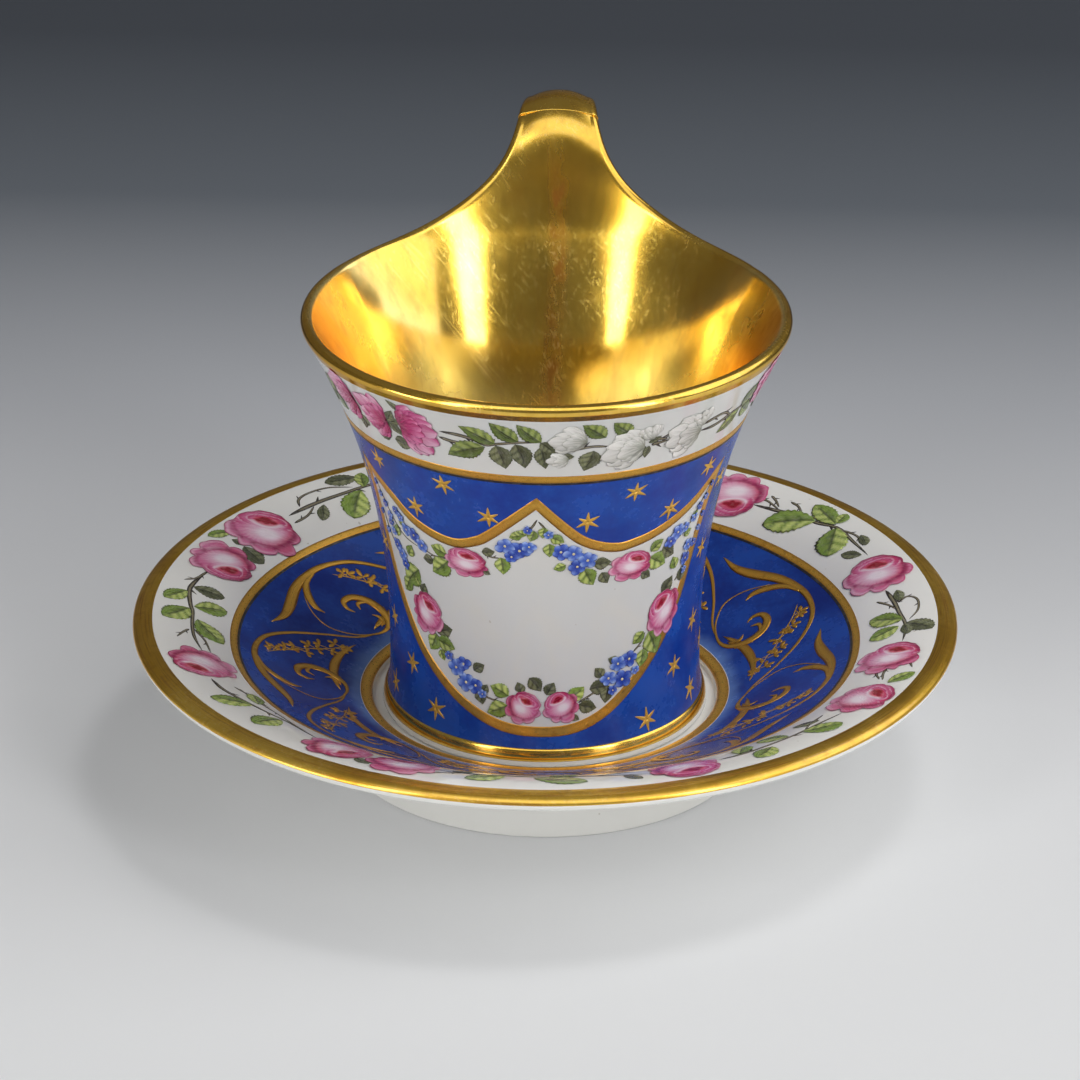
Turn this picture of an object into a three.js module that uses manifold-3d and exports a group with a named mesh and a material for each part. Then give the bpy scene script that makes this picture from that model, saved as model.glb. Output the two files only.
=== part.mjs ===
// Friendship cup on its saucer, in porcelain. Millimetres, +Z up.
// The origin is the middle of the saucer's foot. The handle is toward +Y and the cup's front toward -Y.
import * as THREE from 'three';
import { mergeVertices } from 'three/addons/utils/BufferGeometryUtils.js';
import Module from 'manifold-3d';

// Saucer
const saucerRadius = 70;
const saucerHeight = 25.8;
const saucerWall = 3.2;
const saucerFloor = 4.2;        // clay between the well and the recess under it
const saucerEdge = 2.6;         // thickness of the rounded edge
const borderWidth = 16.8;       // from the edge in to the fold at the top of the bowl
const borderRise = 4.6;         // from the fold up to the edge
const wellHeight = 9.3;         // floor of the well above the table
const wellDepth = 1.6;
const wellFlare = 2;            // how much wider the well is at its top
const ringOffset = 3.4;         // from the top of the well out to the foot ring
const ringWidth = 3.2;

// Cup wall, with radii to the outside
const cupHeight = 71;
const footRadius = 27.8;
const waistRadius = 26.4;
const waistHeight = 8;
const lipRadius = 40.8;
const lipLean = 30;             // degrees from upright
const footWall = 3;
const lipWall = 2.2;
const cupFloor = 4;
const footRecess = 1.4;
const footWidth = 4.5;

// Lip drawn up at the back, and the handle that goes on from it
const tongueLength = 19.5;      // along the clay, from the lip to the joint with the handle
const lipSpread = 22.7;         // how widely the lip leaves its level
const lipFall = 6.6;            // how quickly the sides draw in on the way up
const strapWidth = 11.4;
const strapWall = 2.6;          // at the sides
const strapBulge = 0.9;         // thicker than that in the middle
const strapCrown = 0.4;
const apexReach = 11.6;         // from the lip back to the top of the loop
const apexRise = 17.6;
const loopReach = 22.2;         // from the lip back to the loop's far side
const loopRise = 6;
const jointHeight = 29;         // where the handle meets the wall below
const jointSpread = 1.6;        // how much wider the strap is there

// Fits
const wellClearance = 1.6;      // round the cup's foot in the well
const seatGap = 0.15;           // glaze between the foot and the well
const lutingGap = 0.25;         // slip between the handle and the body

// Fineness of the meshes
const saucerSides = 72;
const plainColumns = 40;
const flankColumns = 9;
const tongueColumns = 4;
const wallRows = 13;
const edgeRows = 4;
const strapSteps = 30;
const strapColumns = 5;

const seat = wellHeight + seatGap;
const wasm = await Module();
wasm.setup();

// The clay's middle line at the back of the cup: foot, wall, drawn-up lip, loop and lower joint
const lipMiddle = new THREE.Vector2(lipRadius - lipWall / 2, cupHeight - lipWall / 2);
const waistMiddle = waistRadius - footWall / 2;
const lean = THREE.MathUtils.degToRad(lipLean);
const lipDirection = new THREE.Vector2(Math.sin(lean), Math.cos(lean));
const wallRun = lipMiddle.y - waistHeight;

function point(x, y) {
  return new THREE.Vector2(x, y);
}

const footCurve = new THREE.QuadraticBezierCurve(
  point(footRadius - footWall / 2, 0),
  point(waistMiddle, waistHeight * 0.4),
  point(waistMiddle, waistHeight),
);
const wallCurve = new THREE.CubicBezierCurve(
  point(waistMiddle, waistHeight),
  point(waistMiddle, waistHeight + wallRun * 0.2),
  lipMiddle.clone().addScaledVector(lipDirection, -wallRun * 0.46),
  lipMiddle.clone(),
);

// Radius of the wall's middle line at a height, by halving
function wallMiddleAt(height) {
  let low = 0;
  let high = 1;
  for (let step = 0; step < 30; step++) {
    const middle = (low + high) / 2;
    if (wallCurve.getPoint(middle).y < height) low = middle;
    else high = middle;
  }
  return wallCurve.getPoint(low).x;
}

const apex = point(lipMiddle.x + apexReach, lipMiddle.y + apexRise);
const farSide = point(lipMiddle.x + loopReach, lipMiddle.y + loopRise);
const lowerJoint = point(wallMiddleAt(jointHeight), jointHeight);
const overhang = farSide.x - apex.x;
const loopDrop = apex.y - farSide.y;
const returnDrop = farSide.y - lowerJoint.y;

const clayLine = new THREE.CurvePath();
clayLine.add(footCurve);
clayLine.add(wallCurve);
const lipLength = clayLine.getLength();
clayLine.add(new THREE.CubicBezierCurve(
  lipMiddle.clone(),
  lipMiddle.clone().addScaledVector(lipDirection, apexRise * 0.37),
  point(apex.x - apexReach * 0.69, apex.y),
  apex,
));
clayLine.add(new THREE.CubicBezierCurve(
  apex,
  point(apex.x + overhang * 0.55, apex.y),
  point(farSide.x, farSide.y + loopDrop * 0.6),
  farSide,
));
clayLine.add(new THREE.CubicBezierCurve(
  farSide,
  point(farSide.x, farSide.y - returnDrop * 0.42),
  point(lowerJoint.x + loopReach * 0.95, lowerJoint.y + returnDrop * 0.14),
  lowerJoint,
));
clayLine.cacheArcLengths = true;
clayLine.updateArcLengths();
const clayLength = clayLine.getLength();
const seamLength = lipLength + tongueLength;

// Place, direction and inward normal on the middle line, at a length from the foot
function onLine(length) {
  const t = Math.min(length / clayLength, 1);
  const place = clayLine.getPoint(t);
  const step = 0.0015;
  const before = clayLine.getPoint(Math.max(t - step, 0));
  const along = clayLine.getPoint(Math.min(t + step, 1)).sub(before).normalize();
  return { place, along, inward: point(-along.y, along.x) };
}

// Thickness of the clay at a length from the foot
function thickness(length) {
  if (length < lipLength) return THREE.MathUtils.lerp(footWall, lipWall, length / lipLength);
  const part = Math.min((length - lipLength) / tongueLength, 1);
  return THREE.MathUtils.lerp(lipWall, strapWall, part);
}

// Half width of the drawn-up lip, without its rounded edge, at a rise above the lip:
// the strap's own half width plus a spread that falls off with the rise
const sharpness = 6;
const strapHalf = (strapWidth - strapWall) / 2;

function halfWidth(rise) {
  const growth = Math.exp(rise * sharpness / lipFall) - 1;
  return strapHalf + lipSpread / growth ** (1 / sharpness);
}

// The same curve turned round: how far the lip has risen at a distance along it from the back
function riseAt(distance) {
  const share = (lipSpread / (distance - strapHalf)) ** sharpness;
  return Math.log(1 + share) * lipFall / sharpness;
}

// Columns of the cup body, each with its angle from the back, its rise,
// and the direction its edge faces: upward share and sideways share
function flankColumn(rise) {
  const angle = halfWidth(rise) / onLine(lipLength + rise).place.x;
  const slope = (halfWidth(rise * 1.01) - halfWidth(rise * 0.99)) / (rise * 0.02);
  const facing = point(-slope, 1).normalize();
  return { angle, rise, up: facing.x, side: facing.y };
}

function bodyColumns() {
  const half = [];
  const seamAngle = halfWidth(tongueLength) / onLine(seamLength).place.x;
  for (let i = 1; i < tongueColumns; i++) {
    half.push({ angle: seamAngle * i / tongueColumns, rise: tongueLength, up: 0, side: 0 });
  }
  half.push({ angle: seamAngle, rise: tongueLength, up: 0, side: 1 });
  for (let i = 1; i <= flankColumns; i++) {
    half.push(flankColumn(tongueLength * (1 - i / (flankColumns + 0.6)) ** 1.7));
  }
  const first = half[half.length - 1].angle;
  const plain = plainColumns / 2;
  for (let i = 1; i < plain; i++) {
    const angle = first + (Math.PI - first) * i / plain;
    half.push({ angle, rise: riseAt(angle * lipMiddle.x), up: 1, side: 0 });
  }
  const mirrored = half.map((column) => ({ ...column, angle: -column.angle, side: -column.side }));
  const back = { angle: 0, rise: tongueLength, up: 0, side: 0 };
  const front = { angle: Math.PI, rise: 0, up: 1, side: 0 };
  return [back, ...half, front, ...mirrored.reverse()];
}

// A point of the cup at a radius, a height and an angle from the back
function around(radius, height, angle) {
  return new THREE.Vector3(radius * Math.sin(angle), radius * Math.cos(angle), height);
}

// One column from the middle of the underside, up the outside, over the edge and down the inside
function columnPoints(column) {
  const points = [];
  const turn = column.angle;
  points.push(around(0, footRecess, turn));
  points.push(around(footRadius - footWidth - footRecess, footRecess, turn));
  points.push(around(footRadius - footWidth, 0, turn));
  const total = lipLength + column.rise;
  const inside = [];
  for (let row = 0; row <= wallRows; row++) {
    const length = total * row / wallRows;
    const { place, inward } = onLine(length);
    const half = thickness(length) / 2;
    const height = row === 0 ? 0 : place.y - inward.y * half;
    points.push(around(place.x - inward.x * half, height, turn));
    const inner = place.clone().addScaledVector(inward, half);
    if (inner.y > cupFloor * 2.2) inside.push(around(inner.x, inner.y, turn));
  }
  const { place, along, inward } = onLine(total);
  const half = thickness(total) / 2;
  for (let row = 1; row < edgeRows; row++) {
    const swing = Math.PI * (row / edgeRows - 0.5);
    const out = half * Math.cos(swing);
    const spot = place.clone().addScaledVector(inward, half * Math.sin(swing));
    spot.addScaledVector(along, out * column.up);
    points.push(around(spot.x, spot.y, turn + out * column.side / place.x));
  }
  points.push(...inside.reverse());
  const floorRadius = waistRadius - footWall;
  points.push(around(floorRadius - cupFloor * 0.3, cupFloor * 1.35, turn));
  points.push(around(floorRadius - cupFloor, cupFloor, turn));
  points.push(around(0, cupFloor, turn));
  return points;
}

// Closed skin over a stack of rings whose first and last ring have shrunk to a point
function skin(rings) {
  const sides = rings[0].length;
  const corners = [];
  const addFace = (a, b, c) => {
    const flat = a.distanceTo(b) * b.distanceTo(c) * c.distanceTo(a) < 1e-9;
    if (!flat) corners.push(a.x, a.y, a.z, b.x, b.y, b.z, c.x, c.y, c.z);
  };
  for (let row = 0; row + 1 < rings.length; row++) {
    for (let i = 0; i < sides; i++) {
      const next = (i + 1) % sides;
      addFace(rings[row][i], rings[row][next], rings[row + 1][next]);
      addFace(rings[row][i], rings[row + 1][next], rings[row + 1][i]);
    }
  }
  const geometry = new THREE.BufferGeometry();
  geometry.setAttribute('position', new THREE.Float32BufferAttribute(corners, 3));
  return geometry;
}

function cupBodyShape() {
  const columns = bodyColumns().map(columnPoints).reverse();
  const rings = columns[0].map((_, row) => columns.map((column) => column[row]));
  return skin(rings);
}

// Outline of the strap at a length along the line: flat in the tongue, crowned over the loop
function strapRing(length) {
  const { place, inward } = onLine(length);
  const run = (length - seamLength) / (clayLength - seamLength);
  const settle = THREE.MathUtils.smoothstep(run, 0, 0.2);
  const spread = jointSpread * THREE.MathUtils.smoothstep(run, 0.72, 1);
  const wide = halfWidth(length - lipLength) + spread;
  const half = strapWall / 2;
  const hollow = place.x * (1 - Math.cos(wide / place.x));
  const lift = THREE.MathUtils.lerp(0, hollow + strapCrown, settle);
  const ring = [];
  const put = (side, depth) => {
    const spot = place.clone().addScaledVector(inward, depth);
    ring.push(new THREE.Vector3(side, spot.x, spot.y));
  };
  const middle = (side) => hollow * (side / wide) ** 2 + lift * (1 - (side / wide) ** 2);
  const fullness = (side) => half + settle * strapBulge / 2 * (1 - (side / wide) ** 2);
  for (const face of [1, -1]) {
    for (let i = 0; i <= strapColumns; i++) {
      const side = face * wide * (2 * i / strapColumns - 1);
      put(side, middle(side) + face * fullness(side));
    }
    for (let i = 1; i < edgeRows; i++) {
      const swing = Math.PI * i / edgeRows;
      put(face * (wide + half * Math.sin(swing)), middle(wide) + face * half * Math.cos(swing));
    }
  }
  return ring;
}

function ringCentre(ring) {
  const centre = new THREE.Vector3();
  ring.forEach((corner) => centre.add(corner));
  return centre.divideScalar(ring.length);
}

function handleShape() {
  const rings = [];
  const start = seamLength + lutingGap;
  for (let step = 0; step <= strapSteps; step++) {
    rings.push(strapRing(start + (clayLength - start) * step / strapSteps));
  }
  const ends = [rings[0], rings[strapSteps]].map((ring) => ring.map(() => ringCentre(ring)));
  return skin([ends[0], ...rings, ends[1]]);
}

// Solid of revolution about +Z
function turned(outline, sides) {
  return new THREE.LatheGeometry(outline, sides).rotateX(Math.PI / 2);
}

// The cup's outside grown by the slip, to trim the handle's lower end against the wall
function wallCutter() {
  const outline = [point(0, 0)];
  for (let step = 0; step <= 16; step++) {
    const length = lipLength * 0.85 * step / 16;
    const { place, inward } = onLine(length);
    outline.push(place.addScaledVector(inward, -thickness(length) / 2 - lutingGap));
  }
  outline[1].y = 0;
  outline.push(point(0, outline[outline.length - 1].y));
  return turned(outline, saucerSides);
}

function toManifold(geometry) {
  geometry.deleteAttribute('normal');
  geometry.deleteAttribute('uv');
  const welded = mergeVertices(geometry, 1e-5);
  return new wasm.Manifold(new wasm.Mesh({
    numProp: 3,
    vertProperties: new Float32Array(welded.attributes.position.array),
    triVerts: new Uint32Array(welded.index.array),
  }));
}

function fromManifold(solid) {
  const mesh = solid.getMesh();
  const geometry = new THREE.BufferGeometry();
  geometry.setAttribute('position', new THREE.BufferAttribute(mesh.vertProperties, 3));
  geometry.setIndex(new THREE.BufferAttribute(mesh.triVerts, 1));
  return geometry;
}

// Saucer outline from the recess under it, round the foot ring and the edge, to the well's floor
function saucerShape() {
  const wellRadius = footRadius + wellClearance;
  const wellTop = point(wellRadius + wellFlare, wellHeight + wellDepth);
  const fold = point(saucerRadius - borderWidth, saucerHeight - borderRise);
  const ringRadius = wellTop.x + ringOffset;
  const recess = wellHeight - saucerFloor;
  const edge = saucerEdge / 2;
  const edgeX = saucerRadius - edge;
  const edgeY = saucerHeight - edge;
  const underFold = point(fold.x + saucerWall * 0.35, fold.y - saucerWall * 0.9);
  const underRing = wellTop.y - saucerWall * 0.75;
  const outline = new THREE.Path();
  outline.moveTo(0, recess);
  outline.lineTo(ringRadius - ringWidth - recess * 0.3, recess);
  outline.quadraticCurveTo(ringRadius - ringWidth, recess, ringRadius - ringWidth, recess * 0.6);
  outline.lineTo(ringRadius - ringWidth, 0.5);
  outline.lineTo(ringRadius - ringWidth + 0.5, 0);
  outline.lineTo(ringRadius - 0.5, 0);
  outline.lineTo(ringRadius, 0.5);
  outline.lineTo(ringRadius, underRing - 1);
  outline.quadraticCurveTo(ringRadius, underRing, ringRadius + 1.6, underRing + 0.7);
  const bowlX = (ringRadius + underFold.x) / 2;
  const bowlY = underRing + (underFold.y - underRing) * 0.42;
  outline.quadraticCurveTo(bowlX, bowlY, underFold.x, underFold.y);
  const borderX = (underFold.x + edgeX) / 2;
  outline.quadraticCurveTo(borderX, edgeY - edge - borderRise * 0.12, edgeX, edgeY - edge);
  outline.absarc(edgeX, edgeY, edge, -Math.PI / 2, Math.PI / 2, false);
  outline.quadraticCurveTo((fold.x + edgeX) / 2, saucerHeight - borderRise * 0.16, fold.x, fold.y);
  const slopeX = (wellTop.x + fold.x) / 2;
  const slopeY = wellTop.y + (fold.y - wellTop.y) * 0.43;
  outline.quadraticCurveTo(slopeX, slopeY, wellTop.x, wellTop.y);
  outline.quadraticCurveTo(wellRadius, wellTop.y, wellRadius, wellHeight + wellDepth * 0.4);
  outline.quadraticCurveTo(wellRadius, wellHeight, wellRadius - wellDepth * 0.4, wellHeight);
  outline.lineTo(0, wellHeight);
  return turned(outline.getPoints(4), saucerSides);
}

function piece(name, geometry, colour, roughness, metalness) {
  const material = new THREE.MeshStandardMaterial({ color: colour, roughness, metalness });
  const mesh = new THREE.Mesh(geometry, material);
  mesh.name = name;
  return mesh;
}

const handleSolid = toManifold(handleShape()).subtract(toManifold(wallCutter()));
const cupBody = piece('cup_body', cupBodyShape(), 0x2342b4, 0.18, 0);
const cupHandle = piece('cup_handle', fromManifold(handleSolid), 0xb98a35, 0.25, 1);
const saucer = piece('saucer', saucerShape(), 0xe9e6dd, 0.15, 0);
cupBody.position.z = seat;
cupHandle.position.z = seat;

const group = new THREE.Group();
group.add(saucer, cupBody, cupHandle);
export default group;
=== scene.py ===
import math

import bpy
import numpy as np
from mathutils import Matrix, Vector


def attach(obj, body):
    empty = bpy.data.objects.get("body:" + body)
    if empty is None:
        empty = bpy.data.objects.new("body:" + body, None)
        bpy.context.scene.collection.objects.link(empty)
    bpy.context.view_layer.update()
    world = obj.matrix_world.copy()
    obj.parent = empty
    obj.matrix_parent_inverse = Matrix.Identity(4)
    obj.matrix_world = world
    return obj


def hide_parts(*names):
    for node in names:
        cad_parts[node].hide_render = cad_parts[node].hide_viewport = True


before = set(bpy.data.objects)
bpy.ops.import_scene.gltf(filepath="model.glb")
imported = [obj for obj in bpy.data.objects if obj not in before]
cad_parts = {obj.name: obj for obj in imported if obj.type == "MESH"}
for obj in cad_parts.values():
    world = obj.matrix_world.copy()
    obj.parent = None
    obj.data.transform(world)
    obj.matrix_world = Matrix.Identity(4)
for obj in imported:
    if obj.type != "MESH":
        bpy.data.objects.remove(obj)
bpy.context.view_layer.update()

mm = 0.001
rng = np.random.default_rng(1820)

# Curves and surfaces

def bezier(points, count):
    # sum of the control points, each weighted by its binomial share of t
    points = np.array(points, float)
    order = len(points) - 1
    t = np.linspace(0, 1, count)[:, None]
    shares = [math.comb(order, k) * t ** k * (1 - t) ** (order - k) for k in range(order + 1)]
    return sum(share * point for share, point in zip(shares, points))


def smoothPath(points, count):
    # spline through the points, leaving each along the line between its neighbours
    points = np.array(points, float)
    padded = np.vstack([2 * points[0] - points[1], points, 2 * points[-1] - points[-2]])
    where = np.linspace(0, len(points) - 1, count)
    index = np.minimum(where.astype(int), len(points) - 2)
    t = (where - index)[:, None]
    before, start, end, after = (padded[index + k] for k in range(4))
    bend = (2 * before - 5 * start + 4 * end - after) * t + (3 * start - before - 3 * end + after) * t * t
    return start + 0.5 * t * ((end - before) + bend)


def chain(*curves):
    # curves joined end to end, without the doubled points
    return np.vstack([curves[0]] + [curve[1:] for curve in curves[1:]])


def lengthAlong(path):
    # running length of a path from its first point
    return np.r_[0, np.cumsum(np.linalg.norm(np.diff(path, axis=0), axis=1))]


def surfaceOf(profile):
    # lookup of a turned surface by the length along its profile: radius, height and outward normal
    along = np.gradient(profile, axis=0)
    along /= np.linalg.norm(along, axis=1)[:, None]
    return {"s": lengthAlong(profile), "r": profile[:, 0], "z": profile[:, 1],
            "nr": along[:, 1], "nz": -along[:, 0]}


def onSurface(surface, theta, s, lift):
    # point at an angle from the front and a length up the profile, raised along the normal
    r, z, nr, nz = (np.interp(s, surface["s"], surface[key]) for key in ("r", "z", "nr", "nz"))
    radius = r + nr * lift
    parts = np.broadcast_arrays(radius * np.sin(theta), -radius * np.cos(theta), z + nz * lift)
    return np.stack(parts, -1)


# Meshes

def ringFaces(rows, columns):
    # quads between neighbouring rows of a grid whose columns close on themselves
    start = np.arange(rows - 1)[:, None] * columns
    here = np.arange(columns)
    there = (here + 1) % columns
    corners = [start + here, start + there, start + columns + there, start + columns + here]
    return np.stack(np.broadcast_arrays(*corners), -1).reshape(-1, 4)


def fanFaces(rows, columns):
    # triangles that close the first and the last ring of a stack to its two end points
    here = np.arange(columns)
    there = (here + 1) % columns
    last = (rows - 1) * columns
    ends = np.repeat([rows * columns, rows * columns + 1], columns)
    return np.stack([np.r_[there, last + here], np.r_[here, last + there], ends], -1)


def skin(rings, firstPole, lastPole):
    # closed mesh over a stack of rings, with a fan to a point at each end
    rows, columns = rings.shape[:2]
    points = np.vstack([rings.reshape(-1, 3), firstPole, lastPole])
    return points, [ringFaces(rows, columns), fanFaces(rows, columns)]


def signedVolume(points, faceSets):
    # sum of the tetrahedra between the origin and each face's triangles
    total = 0
    for faces in faceSets:
        for k in range(1, faces.shape[1] - 1):
            a, b, c = points[faces[:, 0]], points[faces[:, k]], points[faces[:, k + 1]]
            total += np.einsum("ij,ij->", a, np.cross(b, c))
    return total


def outward(points, faceSets):
    # the same faces, turned over where they look inward
    return [faces[:, ::-1] for faces in faceSets] if signedVolume(points, faceSets) < 0 else faceSets


def addPiece(name, points, faceSets, materials, body,
             faceMaterial=None, tint=None, uv=None, smooth=None):
    # one mesh of a body, with its materials; smooth tells which faces share their normals with the next
    faceSets = outward(points, faceSets)
    corners = np.concatenate([faces.ravel() for faces in faceSets]).astype(np.int32)
    sizes = np.concatenate([np.full(len(faces), faces.shape[1]) for faces in faceSets])
    starts = np.r_[0, np.cumsum(sizes)[:-1]].astype(np.int32)
    mesh = bpy.data.meshes.new(name)
    mesh.vertices.add(len(points))
    mesh.vertices.foreach_set("co", (points * mm).astype(np.float32).ravel())
    mesh.loops.add(len(corners))
    mesh.loops.foreach_set("vertex_index", corners)
    mesh.polygons.add(len(sizes))
    mesh.polygons.foreach_set("loop_start", starts)
    mesh.polygons.foreach_set("use_smooth", np.ones(len(sizes), bool) if smooth is None else smooth)
    for material in materials:
        mesh.materials.append(material)
    if faceMaterial is not None:
        mesh.polygons.foreach_set("material_index", faceMaterial.astype(np.int32))
    if tint is not None:
        colours = mesh.color_attributes.new("tint", "FLOAT_COLOR", "POINT")
        rgba = np.concatenate([tint, np.ones((len(tint), 1))], 1).astype(np.float32)
        colours.data.foreach_set("color", rgba.ravel())
    if uv is not None:
        layer = mesh.uv_layers.new(name="stroke")
        layer.data.foreach_set("uv", uv[corners].astype(np.float32).ravel())
    mesh.update(calc_edges=True)
    piece = bpy.data.objects.new(name, mesh)
    bpy.context.scene.collection.objects.link(piece)
    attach(piece, body)
    print(name, len(points), "points", len(sizes), "faces")
    return piece


# Painted strokes: a lens section carried along a path on the surface, closed to a point at both ends

def srgb(*values):
    # linear colour of a colour written in 0 to 255
    share = np.array(values) / 255
    return np.where(share < 0.04045, share / 12.92, ((share + 0.055) / 1.055) ** 2.4)


def step(value, low, high):
    # smooth 0 to 1 as the value goes from low to high
    t = np.clip((value - low) / (high - low), 0, 1)
    return t * t * (3 - 2 * t)


def mix(colour, other, share):
    # colour moved toward another by a share of 0 to 1
    return colour + (other - colour) * np.clip(share, 0, 1)[..., None]


sunk = -0.04  # lowest part of a stroke, below the glaze
tiny = 1e-9  # kept under a division that could meet nothing
plainAcross = 5  # points across a plain stroke


def repeated(faces, count, size):
    # the same faces for each of a number of equal patches
    return (faces[None] + np.arange(count)[:, None, None] * size).reshape(-1, faces.shape[1])


def strokeParts(points, tint, uv, rows, columns, quadTop, fanTop):
    # the flat lists that addStrokes joins: patches of rows by columns points and two end points each
    count, size = len(points), rows * columns + 2
    return {"points": points.reshape(-1, 3), "tint": tint.reshape(-1, 3), "uv": uv.reshape(-1, 2),
            "quads": repeated(ringFaces(rows, columns), count, size), "quadTop": np.tile(quadTop, count),
            "fans": repeated(fanFaces(rows, columns), count, size), "fanTop": np.tile(fanTop, count)}


def paintStrokes(surface, stroke):
    # theta and s give each stroke's path, half its half width, paint its colours along and across
    theta, s, half, paint = (stroke[key] for key in ("theta", "s", "half", "paint"))
    count, steps, across = paint.shape[:3]
    q = np.r_[np.linspace(-1, 1, across), 0]
    r = np.interp(s, surface["s"], surface["r"])
    du, dv = np.gradient(theta, axis=1) * r, np.gradient(s, axis=1)
    size = np.hypot(du, dv) + tiny
    side = half[..., None] * q
    turn = theta[..., None] - (dv / size)[..., None] * side / r[..., None]
    up = s[..., None] + (du / size)[..., None] * side
    fullness = half / half.max(axis=1, keepdims=True)
    lift = stroke["lift"][:, None, None] + stroke["dome"] * fullness[..., None] * (1 - q ** 2)
    lift[..., -1] = sunk
    rings = onSurface(surface, turn, up, lift)[:, 1:-1]
    tips = onSurface(surface, theta[:, [0, -1]], s[:, [0, -1]], stroke["lift"][:, None])
    inner, sides = steps - 2, across + 1
    points = np.concatenate([rings.reshape(count, -1, 3), tips], 1)
    under = paint[:, 1:-1, across // 2, None]
    tint = np.concatenate([paint[:, 1:-1], under], 2).reshape(count, -1, 3)
    tint = np.concatenate([tint, paint[:, [0, -1], across // 2]], 1)
    shift = rng.uniform(0, 50, (count, 1))
    t = np.linspace(0, 1, steps)
    u = np.concatenate([np.tile(q * 0.5 + 0.5, inner), [0.5, 0.5]])[None] + shift
    v = np.concatenate([np.repeat(t[1:-1], sides), [0, 1]])[None] + 0 * shift
    top = np.arange(sides) < across - 1
    uv = np.stack([u, v], -1)
    return strokeParts(points, tint, uv, inner, sides, np.tile(top, inner - 1), np.tile(top, 2))


def addStrokes(name, surface, strokes, material, body):
    # all strokes and patches of a motif, painted one over the other, as one piece
    parts = [stroke if "quads" in stroke else paintStrokes(surface, stroke) for stroke in strokes]
    jumps = np.r_[0, np.cumsum([len(part["points"]) for part in parts])[:-1]]
    sets = [outward(part["points"], [part["quads"], part["fans"]]) for part in parts]
    faceSets = [np.concatenate([pair[k] + jump for pair, jump in zip(sets, jumps)]) for k in (0, 1)]
    points, tint, uv = (np.concatenate([part[key] for part in parts]) for key in ("points", "tint", "uv"))
    smooth = np.concatenate([part[key] for key in ("quadTop", "fanTop") for part in parts])
    return addPiece(name, points, faceSets, [material], body, tint=tint, uv=uv, smooth=smooth)


def petalShape(t):
    # broad and round toward the tip
    return np.sin(np.pi * np.clip(t, 0, 1) ** 1.35) ** 0.62


def leafShape(t):
    # broadest below the middle, running out to a point
    return np.sin(np.pi * np.clip(t, 0, 1) ** 0.82) ** 1.05


def roundLeaf(t):
    # broadest past the middle, with a rounded end
    return np.sin(np.pi * np.clip(t, 0, 1) ** 1.12) ** 0.72


def ovalShape(t):
    # half an ellipse
    return np.sqrt(np.clip(1 - (2 * t - 1) ** 2, 0, 1))


def lineShape(t):
    # even, with short tapered ends
    return np.clip(np.minimum(t, 1 - t) / 0.16, 0, 1) ** 0.6 * 0.9 + 0.1


def rayShape(t):
    # broad at the root and running out to a point
    return np.clip(1 - t, 0, 1) ** 0.7 * np.clip(t / 0.08, 0, 1) ** 0.5


def plainPaint(root, tip, rim):
    # the root's colour fading to the tip's, and to the rim's at both sides
    def paint(t, q):
        t, q = np.broadcast_arrays(t[:, None], q[None])
        return mix(mix(np.zeros(t.shape + (3,)) + root, tip, t), rim, np.abs(q) ** 1.5)
    return paint


def dabs(surface, theta, s, u, v, heading, length, half, lift, shape, painter,
         curl=0.0, dome=0.015, steps=8, across=plainAcross):
    # short strokes: each starts at u, v millimetres from its anchor and runs length millimetres
    # along its heading, which turns by curl on the way
    values = (theta, s, u, v, heading, length, half, lift, curl)
    values = np.broadcast_arrays(*(np.asarray(value, float) for value in values))
    theta, s, u, v, heading, length, half, lift, curl = (value.ravel() for value in values)
    t = np.linspace(0, 1, steps)
    turn = heading[:, None] + curl[:, None] * (t - 0.5 / (steps - 1))
    pace = length[:, None] / (steps - 1)
    run = np.cumsum(np.cos(turn) * pace, 1) - np.cos(turn[:, :1]) * pace
    rise = np.cumsum(np.sin(turn) * pace, 1) - np.sin(turn[:, :1]) * pace
    radius = np.interp(s, surface["s"], surface["r"])[:, None]
    tone = 1 + 0.06 * rng.standard_normal((len(theta), 1, 1, 1))
    paint = painter(t, np.linspace(-1, 1, across))[None] * tone
    return {"theta": theta[:, None] + (u[:, None] + run) / radius, "s": s[:, None] + v[:, None] + rise,
            "half": half[:, None] * shape(t) + 0.01, "lift": lift, "dome": dome,
            "paint": np.clip(paint, 0, 1)}


def reach(surface, theta, s, thetaEnd, sEnd):
    # heading and length of a short stroke between two points of the surface
    du = (thetaEnd - theta) * np.interp(s, surface["s"], surface["r"])
    return np.arctan2(sEnd - s, du), np.hypot(du, sEnd - s)


def ribbon(theta, s, half, lift, painter, dome):
    # long strokes along given paths
    theta, s, half = (np.atleast_2d(np.asarray(value, float)) for value in (theta, s, half))
    paint = painter(np.linspace(0, 1, theta.shape[1]), np.linspace(-1, 1, plainAcross))
    return {"theta": theta, "s": s, "half": half + 0.005, "lift": np.full(len(theta), lift), "dome": dome,
            "paint": np.repeat(paint[None], len(theta), 0)}


# Cup: one middle line from the foot up the back wall, the drawn-up lip, the loop and down to the lower joint

cupForm = {
    "seat": 9.45, "height": 71, "footRadius": 27.8, "waistRadius": 26.4, "waistHeight": 8, "lipRadius": 40.8,
    "lipLean": 30, "footWall": 3, "lipWall": 2.2, "floor": 4, "recess": 1.4, "footWidth": 4.5, "tongue": 19.5,
    "spread": 22.7, "fall": 6.6, "sharpness": 6, "strapWidth": 11.4, "strapWall": 2.6, "strapBulge": 0.9,
    "crownRise": (6, 18), "apexReach": 11.6, "apexRise": 17.6, "loopReach": 22.2, "loopRise": 6,
    "jointHeight": 29, "jointSpread": 1.6, "tongueCrown": 1.3}
cupBands = {
    "footGold": (1.0, 3.1), "borderLine": (54.7, 56.2), "blackLine": (54.35, 54.75), "lipGold": 68.3}

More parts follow.
